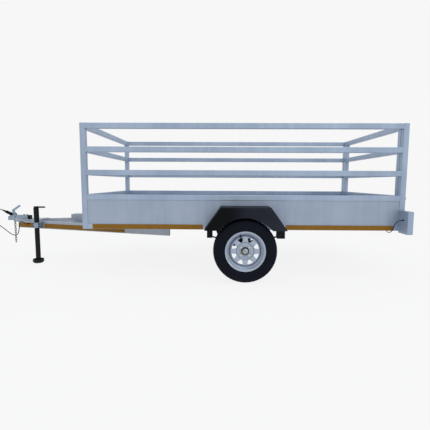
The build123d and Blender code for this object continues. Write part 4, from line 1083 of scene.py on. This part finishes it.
@dataclass
class Leads:
    """The free lead to the parked plug, the plug itself and the two short lamp leads."""

    plug_seat: Point = (-2642.0, 0.0, 521.0)
    plug_tilt: float = 24.5
    plug_length: float = 115.0
    lead_diameter: float = 8.5
    lamp_diameter: float = 7.0
    tail_straight: float = 38.0
    route: Tuple[Point, ...] = (
        (-2368.563, -136.404, 427), (-2378.530, -169.956, 427), (-2402, -181, 451),
        (-2434, -172, 460), (-2460, -155, 437), (-2476, -137, 398), (-2490, -122, 352),
        (-2510, -110, 307), (-2548, -99, 285), (-2598, -87, 295), (-2652, -76, 330),
        (-2712, -65, 370), (-2772, -52, 408), (-2822, -34, 456), (-2844, -14, 512),
        (-2828, -2, 564))
    lamp_route: Tuple[Point, ...] = (
        (1450, 825, 568), (1424, 825, 568), (1398, 812, 551), (1388, 795, 521),
        (1386, 780, 487), (1386, 758, 456.5), (1386, 724, 442.5), (1386, 692, 436.5),
        (1385.5, 664, 442.5), (1385, 650, 461.5), (1385, 650, 484))

    def build(self) -> None:
        """Make the leads and the plug."""
        plug = self.plug()
        lead = self.lead("plug_cable_lead", self.route_to_plug(), self.lead_diameter, "plug_cable")
        tuple(body_frame(self.route[:1])[0])
        for side in Side:
            route = [(x, side.value * y, z) for x, y, z in self.lamp_route]
            name = f"{side.word}_light_cable"
            lamp_lead = self.lead(f"{side.word}_lamp_lead", route, self.lamp_diameter, name)
            tuple(body_frame(route[:1])[0])
        self.glands()

    def along_plug(self, reach: float) -> Point:
        """A point on the plug's axis.

        Args:
            reach: its distance from the plug's face, in millimetres.

        Returns:
            The point, in millimetres from the body's centre.
        """
        lean = math.radians(self.plug_tilt)
        x, y, z = self.plug_seat
        return (x - reach * math.cos(lean), y, z + reach * math.sin(lean))

    def route_to_plug(self) -> List[Point]:
        """The lead's points, from the grommet to the plug's tail."""
        ends = [self.along_plug(self.plug_length + self.tail_straight),
                self.along_plug(self.plug_length)]
        return list(self.route) + ends

    def lead(self, name: str, route: Sequence[Point], diameter: float,
             node: str) -> bpy.types.Object:
        """A round sheathed lead on one smooth spline.

        Args:
            name: the piece's name.
            route: its control points in millimetres from the body's centre.
            diameter: its diameter in millimetres.
            node: the frame node that it replaces.

        Returns:
            The lead.
        """
        curve = bpy.data.curves.new(name, "CURVE")
        curve.dimensions = "3D"
        curve.bevel_depth = diameter * MM / 2
        curve.bevel_resolution = 5
        curve.resolution_u = 16
        curve.use_fill_caps = True
        spline = curve.splines.new("NURBS")
        points = body_frame(route)
        spline.points.add(len(points) - 1)
        for control, point in zip(spline.points, points):
            control.co = (*point, 1.0)
        spline.order_u = 3
        spline.use_endpoint_u = True
        curve.materials.append(SHEATH.material())
        lead = add_object(name, curve)
        settle(lead, "chassis", (node,))
        return lead

    def plug(self) -> bpy.types.Object:
        """The moulded plug: contact face, bayonet skirt, ribbed grip and strain relief.

        Returns:
            The plug.
        """
        lean = math.radians(self.plug_tilt)
        axis = Vector((-math.cos(lean), 0.0, math.sin(lean)))
        place = stood_at(spot(*self.plug_seat), axis)
        profile = [(0.5, 0.4), (13.6, 0.4), (14.0, 1.2), (14.0, 17.0), (16.4, 17.4), (17.0, 18.4)]
        for k in range(9):
            s = 20.0 + k * 4.6
            profile += [(17.0, s), (17.0, s + 2.2), (16.0, s + 2.7), (16.0, s + 4.1)]
        profile += [(16.6, 62.0), (14.2, 68.0), (12.0, 74.0)]
        for k in range(7):
            s = 76.0 + k * 5.4
            r = 11.4 - k * 0.75
            profile += [(r, s), (r - 0.2, s + 3.0), (r - 1.7, s + 3.5), (r - 1.9, s + 5.0)]
        profile += [(5.2, 115.0), (4.4, 115.0)]
        maker = MeshMaker("plug_body")
        maker.lathe(in_metres(profile), place, 48)
        maker.block((0.040, -0.004, 0.0135), (0.058, 0.004, 0.0205), 0.001,
                    place @ Matrix(((0, 0, 1, 0), (0, 1, 0, 0), (1, 0, 0, 0), (0, 0, 0, 1))))
        return maker.make(FITTING_PLASTIC, "chassis", ("plug",))

    def glands(self) -> None:
        """Collars where the lamp leads leave the light boxes."""
        maker = MeshMaker("lamp_lead_glands")
        for side in Side:
            x, y, z = self.lamp_route[0]
            turn = Matrix.Rotation(-math.pi / 2, 4, "Y")
            place = Matrix.Translation(spot(x, side.value * y, z)) @ turn
            profile = [(8.5, 0.0), (8.5, 2.0), (7.6, 2.6), (7.4, 6.5), (6.6, 7.5), (5.8, 7.6)]
            maker.lathe(in_metres(profile), place, 24)
        maker.make(FITTING_PLASTIC, "chassis")


# ---------------------------------------------------------------- wheels


@dataclass
class Wheel:
    """One wheel's tyre, valve and balance weight, around the frame's rim and hub."""

    side: Side
    centre: Point = (20.0, 860.0, 289.0)
    radius: float = 289.0
    half_width: float = 78.5
    segments: int = 288
    pitches: int = 48
    groove_depth: float = 6.5
    middle_band: float = 20.0
    crown_end: float = 62.0
    tread_low: float = 260.0
    shoulder_from: float = 58.0
    lugs_end: float = 66.5
    groove_share: float = 0.55
    lug_share: float = 0.20
    liner: Tuple[Tuple[float, float], ...] = (
        (166.0, 56.5), (165.6, 50.0), (182.0, 50.0), (228.0, 66.0), (262.0, 56.0))
    liner_crown: float = 272.0
    valve_angle: float = 108.0
    valve_foot: Tuple[float, float] = (141.0, 36.0)
    valve_head: Tuple[float, float] = (128.0, 64.0)
    weight_place: Tuple[float, float] = (174.5, 64.0)
    weight_start: float = 212.0
    weight_step: float = 2.2
    weight_radius: float = 4.2

    def build(self) -> None:
        """Make the tyre and the small pieces, and dress the frame's parts."""
        word = self.side.word
        self.tyre()
        self.valve()
        self.weight()
        dress(WHEEL_SILVER, f"{word}_rim")
        dress(CAP_ZINC, f"{word}_dust_cap")
        dress(ZINC, f"{word}_wheel_bolts")
        dress(JACK_PAINT, f"{word}_hub")

    @property
    def body(self) -> str:
        """The body that turns with this wheel."""
        return f"{self.side.word}_wheel"

    def place(self) -> Matrix:
        """Wheel frame: local Z points outward along the axle, local X forward or back."""
        x, y, z = self.centre
        turn = Matrix.Rotation(-self.side.value * math.pi / 2, 4, "X")
        return Matrix.Translation(spot(x, self.side.value * y, z)) @ turn

    def profile(self) -> List[Tuple[float, float, bool]]:
        """Tyre section from the outer bead over the tread to the inner bead.

        Returns:
            Radius, offset from the middle and whether the point is part of a tread block.
        """
        wall = [(166.0, 56.5), (171.0, 60.0), (178.0, 63.5), (186.5, 65.8), (187.5, 67.2),
                (190.0, 68.4), (193.0, 68.0), (197.0, 71.4), (205.0, 75.2), (213.0, 77.4),
                (217.0, 77.9), (218.0, 78.4), (222.0, 78.5), (223.0, 77.9), (231.0, 77.9),
                (240.0, 77.0), (247.0, 75.6), (248.0, 76.1), (251.0, 75.5), (252.0, 74.2),
                (259.0, 72.6), (266.0, 70.8)]
        shoulder = [(272.0, 69.0), (277.5, 66.0), (281.5, 61.5)]
        tread = []
        grooves = (36.0, 13.0, -13.0, -36.0)
        for middle in grooves:
            tread += [(middle + 9.5, True), (middle + 4.0, True), (middle + 3.0, False),
                      (middle - 3.0, False), (middle - 4.0, True), (middle - 9.5, True)]
        section = [(r, a, False) for r, a in wall]
        section += [(r, a, True) for r, a in shoulder]
        for offset, block in [(55.0, True), (48.0, True)] + tread + [(-48.0, True), (-55.0, True)]:
            crown = self.radius - 0.15 - 0.0022 * offset * offset
            section.append((crown if block else crown - self.groove_depth, offset, block))
        section += [(r, -a, True) for r, a in reversed(shoulder)]
        section += [(r, -a, False) for r, a in reversed(wall)]
        return section

    def tyre(self) -> None:
        """The tyre, with ribs, cross grooves cut into the blocks and shoulder lugs."""
        section = self.profile()
        place = self.place()
        per_pitch = self.segments // self.pitches
        crown = (self.liner_crown, 0.0)
        liner = [*self.liner, crown, *((r, -offset) for r, offset in reversed(self.liner))]
        rings, inner = [], []
        for k, angle in enumerate(turns(self.segments)):
            ring = []
            for radius, offset, block in section:
                out = abs(offset)
                stagger = 0 if out < self.middle_band else (2 if offset > 0 else 4)
                slot = (k + stagger) % per_pitch == 0
                share = self.lug_share if out > self.shoulder_from else self.groove_share
                cut = self.groove_depth * share if block and slot and out < self.lugs_end else 0.0
                r = (radius - cut) * MM
                ring.append(place @ Vector((r * math.cos(angle), r * math.sin(angle),
                                            offset * MM)))
            rings.append(ring)
            inner.append([place @ Vector((r * MM * math.cos(angle), r * MM * math.sin(angle),
                                          offset * MM)) for r, offset in reversed(liner)])
        treads = {j for j, (radius, offset, _) in enumerate(section)
                  if abs(offset) < self.crown_end and radius > self.tread_low}
        maker = MeshMaker(f"{self.side.word}_tyre_rubber")
        maker.grid(rings, Stop.OPEN, Stop.LOOP, lambda _, j: j in treads)
        maker.grid(inner, Stop.OPEN, Stop.LOOP)
        maker.make(TYRE_RUBBER, self.body, (f"{self.side.word}_tyre",))

    def at_rim(self, radius: float, angle: float, offset: float) -> Vector:
        """A point on the wheel.

        Args:
            radius: its distance from the axle's line, in millimetres.
            angle: its angle from straight back, in degrees.
            offset: its distance outward from the wheel's middle, in millimetres.

        Returns:
            The point, in the frame.
        """
        turn = math.radians(angle)
        centre = Vector(self.centre)
        return spot(centre.x + radius * math.cos(turn), self.side.value * (centre.y + offset),
                    centre.z + radius * math.sin(turn))

    def valve(self) -> None:
        """Rubber valve stem with a cap, leaning out of the rim well."""
        maker = MeshMaker(f"{self.side.word}_valve_stem")
        foot, head = (self.at_rim(radius, self.valve_angle, offset)
                      for radius, offset in (self.valve_foot, self.valve_head))
        place = stood_at(foot, (head - foot).normalized())
        profile = [(7.5, -3.0), (7.6, 0.0), (6.0, 2.0), (5.0, 6.0), (4.3, 14.0), (4.3, 17.0),
                   (4.8, 17.2), (5.0, 18.0), (5.0, 28.0), (4.2, 29.6), (1.0, 30.0)]
        maker.lathe(in_metres(profile), place, 20)
        maker.make(SHEATH, self.body)

    def weight(self) -> None:
        """A clip-on balance weight along the outer flange."""
        maker = MeshMaker(f"{self.side.word}_balance_weight")
        radius, offset = self.weight_place
        line = [self.at_rim(radius, self.weight_start + self.weight_step * k, offset)
                for k in range(9)]
        thick = 0.001 * self.weight_radius
        maker.sweep(line, lambda i: thick * (0.55 if i in (0, 8) else 1.0), 8)
        maker.make(BRIGHT_ZINC, self.body)


# ---------------------------------------------------------------- springs


@dataclass
class LeafSprings:
    """Main and helper leaves, arched between their hangers and the axle."""

    axle_x: float = 20.0
    spring_y: float = 725.0
    width: float = 45.0
    thickness: float = 7.0
    seat_gap: float = 0.3
    bottom: float = 346.1
    eye_reach: float = 323.0
    slipper_reach: float = 345.0
    eye_height: float = 402.0
    eye_radius: float = 14.0
    pin_radius: float = 7.08
    helper_reaches: Tuple[float, float] = (215.0, 125.0)
    clamp_reach: float = 45.0
    edge: float = 1.1
    eye_overlap: float = 6.0
    eye_chamfer: float = 0.8
    tip_thinning: float = 2.6
    tip_run: float = 26.0
    tip_narrowing: float = 3.0
    narrow_run: float = 12.0
    steps: int = 26

    def build(self) -> None:
        """Make the front and the rear halves of both sides' leaves, one mesh each."""
        for word, way, reach in (("front", -1, self.eye_reach), ("rear", 1, self.slipper_reach)):
            maker = MeshMaker(f"{word}_leaf_halves")
            for side in Side:
                main = reach - self.eye_overlap if way < 0 else reach
                for i, length in enumerate((main, *self.helper_reaches)):
                    self.half_leaf(maker, side, way, length, i)
                if way < 0:
                    self.eye(maker, side)
            piece = maker.dressed(SPRING_PAINT)
            start, end = body_frame([(self.axle_x + way * reach, 0.0, self.bottom),
                                     (self.axle_x + way * self.clamp_reach, 0.0, self.bottom)])
            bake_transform(piece)
            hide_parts("main_leaves", "helper_leaves")
            LOG.info("%s bends between chassis and axle", piece.name)

    def half_leaf(self, maker: MeshMaker, side: Side, way: int, length: float,
                  place: int) -> None:
        """One half of a leaf: an arc with eased edges that thins at a helper's tip.

        Args:
            maker: the mesh that takes it.
            side: the trailer's side.
            way: -1 to the front, 1 to the rear.
            length: its reach from the axle.
            place: 0 for the main leaf, 1 and 2 for the helpers under it.
        """
        sag = self.eye_height - (self.bottom + self.thickness)
        centre_z = self.bottom + self.thickness + (self.eye_reach ** 2 + sag ** 2) / (2 * sag)
        outer = centre_z - (self.bottom - place * (self.thickness + self.seat_gap))
        inner = outer - self.thickness
        e, half = self.edge, self.width / 2
        rings = []
        for k in range(self.steps + 1):
            reach = length * k / self.steps
            thin = narrow = 0.0
            if place:
                thin = self.tip_thinning * max(0.0, 1.0 - (length - reach) / self.tip_run)
                narrow = self.tip_narrowing * max(0.0, 1.0 - (length - reach) / self.narrow_run)
            angle = math.asin(reach / outer)
            w = half - narrow
            section = [(-w + e, outer - thin), (w - e, outer - thin), (w, outer - thin - e),
                       (w, inner + e), (w - e, inner), (-w + e, inner), (-w, inner + e),
                       (-w, outer - thin - e)]
            rings.append(body_frame([
                (self.axle_x + way * r * math.sin(angle), side.value * self.spring_y + y,
                 centre_z - r * math.cos(angle)) for y, r in section]))
        if way > 0:
            rings = [list(reversed(ring)) for ring in rings]
        maker.grid(rings, flat=every_face)
        maker.cap(rings[0], turn=True)
        maker.cap(rings[-1])

    def eye(self, maker: MeshMaker, side: Side) -> None:
        """The eye that the main leaf's front end is rolled into.

        Args:
            maker: the mesh that takes it.
            side: the side of the trailer.
        """
        middle = spot(self.axle_x - self.eye_reach, side.value * self.spring_y, self.eye_height)
        place = Matrix.Translation(middle) @ Matrix.Rotation(math.pi / 2, 4, "X")
        half, outer, cut = self.width / 2, self.eye_radius, self.eye_chamfer
        profile = [(self.pin_radius, -half), (outer - cut, -half), (outer, -half + cut),
                   (outer, half - cut), (outer - cut, half), (self.pin_radius, half)]
        maker.lathe(in_metres(profile), place, 32, Stop.LOOP)


# ---------------------------------------------------------------- welds


@dataclass
class WeldSeams:
    """Rippled weld beads where tube meets tube."""

    half_length: float = 1500.0
    half_width: float = 750.0
    tube: float = 50.0
    bottom: float = 460.0
    tops: Tuple[float, ...] = (785.0, 1013.0, 1226.0, 1440.0)
    gate_gap: float = 6.0
    gate_bottom: float = 520.0
    bead: float = 2.3
    ripple: float = 0.0016
    margin: float = 5.0
    sunk: float = 0.6
    arm_start: Tuple[float, float] = (-2510.0, 85.0)
    arm_slope: float = 538.0 / 1810.0
    arm_lift: float = 0.4
    arm_seams: Tuple[Tuple[float, float], ...] = ((-1497.0, -1453.0), (-1022.0, -978.0))

    def build(self) -> None:
        """Make the seams of the body, the gate and the drawbar."""
        self.body_seams()
        self.gate_seams()
        self.drawbar_seams()

    def run(self, maker: MeshMaker, start: Point, end: Point, rng: random.Random) -> None:
        """Lay one bead of overlapping ripples.

        Args:
            maker: the mesh that takes it.
            start: one end, in millimetres from the body's centre.
            end: the other end.
            rng: the source of small unevenness.
        """
        a, b = body_frame([start, end])
        length = (b - a).length
        steps = max(8, int(length / self.ripple))
        line = [a.lerp(b, i / steps) for i in range(steps + 1)]
        swell = [1.0 + 0.22 * math.cos(i * 1.9) + rng.uniform(-0.08, 0.08)
                 for i in range(steps + 1)]
        swell[0] = swell[-1] = 0.35
        maker.sweep(line, lambda i: self.bead * MM * swell[i], 8)

    def body_seams(self) -> None:
        """Seams between rails and posts, inside and outside."""
        rng = random.Random(11)
        maker = MeshMaker("body_weld_seams")
        reach = self.half_length - self.tube
        inner = self.half_width - self.tube
        heights = [self.bottom + self.tube] + list(self.tops)
        for top in heights:
            low, high = top - self.tube + self.margin, top - self.margin
            for x_sign in (-1, 1):
                for y_sign in (-1, 1):
                    x = x_sign * reach
                    for y in (y_sign * (self.half_width - self.sunk), y_sign * (inner + self.sunk)):
                        self.run(maker, (x, y, low), (x, y, high), rng)
                    if top != self.tops[-1]:
                        y0 = y_sign * (inner + self.margin)
                        y1 = y_sign * (self.half_width - self.margin)
                        self.run(maker, (x, y0, top - 0.5), (x, y1, top - 0.5), rng)
        for top in heights:
            for y_sign in (-1, 1):
                for x in (-(self.half_length - self.sunk), -(reach + self.sunk)):
                    y = y_sign * inner
                    self.run(maker, (x, y, top - self.tube + self.margin),
                             (x, y, top - self.margin), rng)
        maker.make(TUBE_PAINT, "chassis")

    def gate_seams(self) -> None:
        """Seams between the gate's rails and stiles."""
        rng = random.Random(12)
        maker = MeshMaker("gate_weld_seams")
        y = self.half_width - self.tube - self.gate_gap - self.tube
        for top in [self.gate_bottom + self.tube] + list(self.tops):
            for y_sign in (-1, 1):
                for x in (self.half_length - self.sunk, self.half_length - self.tube + self.sunk):
                    self.run(maker, (x, y_sign * y, top - self.tube + self.margin),
                             (x, y_sign * y, top - self.margin), rng)
        maker.make(TUBE_PAINT, "gate")

    def drawbar_seams(self) -> None:
        """Seams along the arms under the body and at the brace."""
        rng = random.Random(13)
        maker = MeshMaker("drawbar_weld_seams")
        start_x, start_y = self.arm_start
        for y_sign in (-1, 1):
            for seam in self.arm_seams:
                ends = []
                for x in seam:
                    y = start_y + (x - start_x) * self.arm_slope
                    ends.append((x, y_sign * (y + self.arm_lift), self.bottom - self.arm_lift))
                self.run(maker, *ends, rng)
        maker.make(DRAWBAR_PAINT, "chassis")


# ---------------------------------------------------------------- rear lamps


@dataclass
class RearLamps:
    """Lens stacks on the two light boxes: amber over red over clear, in a dark bezel."""

    face_x: float = 1500.0
    near: float = 766.0
    far: float = 884.0
    low: float = 470.0
    high: float = 625.0
    proud: float = 9.4
    border: float = 5.0
    gap: float = 0.6
    screw_inset: float = 11.0

    def build(self) -> None:
        """Make both bezels and all lenses."""
        self.bezels()
        span = (self.high - self.low - 2 * self.border) / 4
        base = self.low + self.border
        for name, low, high, finish in (("red_stop_lenses", 1, 3, RED_LENS),
                                        ("amber_turn_lenses", 3, 4, AMBER_LENS),
                                        ("clear_reverse_lenses", 0, 1, CLEAR_LENS)):
            self.lenses(name, base + low * span, base + high * span, finish)
        self.screws()

    def bezels(self) -> None:
        """The dark frames that the lenses are set in."""
        maker = MeshMaker("lamp_bezels")
        self.plates(maker, spot(self.face_x, self.near, self.low),
                    spot(self.face_x + 5.0, self.far, self.high), 0.0015)
        maker.make(FITTING_PLASTIC, "chassis", ("light_lenses",))

    @staticmethod
    def plates(maker: MeshMaker, low: Vector, high: Vector, bevel: float) -> None:
        """A bevelled plate on each side of the trailer.

        Args:
            maker: the mesh that takes them.
            low: the right one's lowest corner.
            high: its highest corner.
            bevel: the size of its rounding, in metres.
        """
        for side in Side:
            y = sorted((side.value * low.y, side.value * high.y))
            maker.block((low.x, y[0], low.z), (high.x, y[1], high.z), bevel)

    def lenses(self, name: str, low: float, high: float, finish: Finish) -> None:
        """One coloured lens on each side, domed by its bevel and screwed at its ends.

        Args:
            name: the piece's name.
            low: its lower edge.
            high: its upper edge.
            finish: its acrylic.
        """
        maker = MeshMaker(name)
        self.plates(maker, spot(self.face_x + 4.5, self.near + self.border, low + self.gap),
                    spot(self.face_x + self.proud, self.far - self.border, high - self.gap),
                    0.0022)
        maker.make(finish, "chassis")

    def screws(self) -> None:
        """Two cross-headed screws through each lens stack."""
        maker = MeshMaker("lens_screws")
        for side in Side:
            middle = side.value * (self.near + self.far) / 2
            for z in (self.low + self.screw_inset, self.high - self.screw_inset):
                start = spot(self.face_x + self.proud - 0.8, middle, z)
                place = Matrix.Translation(start) @ Matrix.Rotation(math.pi / 2, 4, "Y")
                profile = [(3.6, 0.0), (3.6, 0.9), (3.1, 1.4), (2.0, 1.7), (1.0, 1.75),
                           (0.8, 1.0), (0.2, 1.0)]
                maker.lathe(in_metres(profile), place, 16)
        maker.make(ZINC, "chassis")


# ---------------------------------------------------------------- trim on the drawbar


@dataclass
class DrawbarTrim:
    """Rubber buffer behind the coupler's shank and the sleeve over the jack's upper tube."""

    shank_end: float = -2440.0
    shank_half_width: float = 23.0
    buffer_length: float = 28.0
    buffer_low: float = 466.3
    buffer_high: float = 511.0
    buffer_gap: float = 0.3
    core_inset: float = 2.2
    jack: Tuple[float, float] = (-2236.0, -207.0)
    tube_radius: float = 25.0
    sleeve_radius: float = 27.8
    sleeve_low: float = 478.0
    sleeve_high: float = 599.6

    def build(self) -> None:
        """Make the buffer and the sleeve."""
        self.buffer()
        self.sleeve()

    def buffer(self) -> None:
        """Three rubber plates with grooves between them."""
        maker = MeshMaker("coupler_buffer")
        start = self.shank_end + self.buffer_gap
        plate = (self.buffer_length - self.buffer_gap) / 3
        half = self.shank_half_width
        for k in range(3):
            a = spot(start + k * plate, -half, self.buffer_low)
            b = spot(start + (k + 1) * plate, half, self.buffer_high)
            maker.block(a, b, 0.0028)
        core = half - self.core_inset
        a = spot(start + 1.0, -core, self.buffer_low + self.core_inset)
        b = spot(start + self.buffer_length - 1.5, core, self.buffer_high - self.core_inset)
        maker.block(a, b, 0.001)
        maker.make(SHEATH, "chassis")

    def sleeve(self) -> None:
        """A sleeve with rolled rims and two knurled bands."""
        maker = MeshMaker("jack_head_sleeve")
        low, high, r = self.sleeve_low, self.sleeve_high, self.sleeve_radius
        inner = self.tube_radius + 0.15
        profile = [(inner, low), (r - 0.6, low), (r, low + 0.8), (r, low + 5.0),
                   (r - 0.8, low + 6.0)]
        for middle in (low + 40.0, low + 80.0):
            profile += [(r - 0.8, middle - 5.0), (r - 0.2, middle - 4.2), (r - 0.2, middle + 4.2),
                        (r - 0.8, middle + 5.0)]
        profile += [(r - 0.8, high - 8.0), (r, high - 7.0), (r, high - 0.8), (r - 0.6, high),
                    (inner, high)]
        origin = spot(*self.jack, 0.0)
        maker.lathe(in_metres(profile), Matrix.Translation(origin), 48, Stop.LOOP)
        maker.make(JACK_PAINT, "chassis")


# ---------------------------------------------------------------- finishes of the frame's own nodes


@dataclass
class FrameDress:
    """Which finish each node of the frame wears."""

    plan: Dict[Finish, Tuple[str, ...]] = field(default_factory=lambda: {
        TUBE_PAINT: ("chassis_side_rails", "cross_members", "corner_posts", "left_side_rails",
                     "right_side_rails", "front_rails", "gate_frame", "light_boxes"),
        PANEL_PAINT: ("side_panels", "gate_panel"),
        DRAWBAR_PAINT: ("left_drawbar_arm", "right_drawbar_arm", "drawbar_brace", "nose_plate",
                        "spare_carrier"),
        FLOOR_SHEET: ("floor_sheet",),
        OCHRE_TAPE: ("reflective_tape",),
        GUARD_PLASTIC: ("left_mudguard", "right_mudguard"),
        FITTING_PLASTIC: ("junction_boxes", "plug_holder", "cable_grommet"),
        JACK_PAINT: ("jack_tube", "jack_crank", "jack_leg", "jack_foot"),
        SPRING_PAINT: ("spring_hangers", "spring_clamps", "axle_beam", "mudguard_stays"),
        DARK_BOLT: ("drawbar_bolts",),
        ZINC: ("gate_post_hinges", "gate_knuckles", "latch_guides",
               "latch_bolt", "latch_keeper", "jack_screw", "wheel_bearings"),
        COUPLER_ZINC: ("coupler_body", "coupler_lever", "coupler_jaw", "jack_clamp"),
        CHAIN_ZINC: ("safety_chain",),
    })

    def build(self) -> None:
        """Dress every node."""
        for finish, nodes in self.plan.items():
            dress(finish, *nodes)


def write_sizes() -> None:
    """Bring the view layer up to date.
    """
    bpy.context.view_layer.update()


def main() -> None:
    """Build the whole visual model."""
    logging.basicConfig(level=logging.INFO, format="%(name)s: %(message)s")
    Studio().build()
    Leads().build()
    FrameDress().build()
    for side in Side:
        Wheel(side).build()
    LeafSprings().build()
    WeldSeams().build()
    RearLamps().build()
    DrawbarTrim().build()
    write_sizes()


if __name__ == "__main__":
    main()
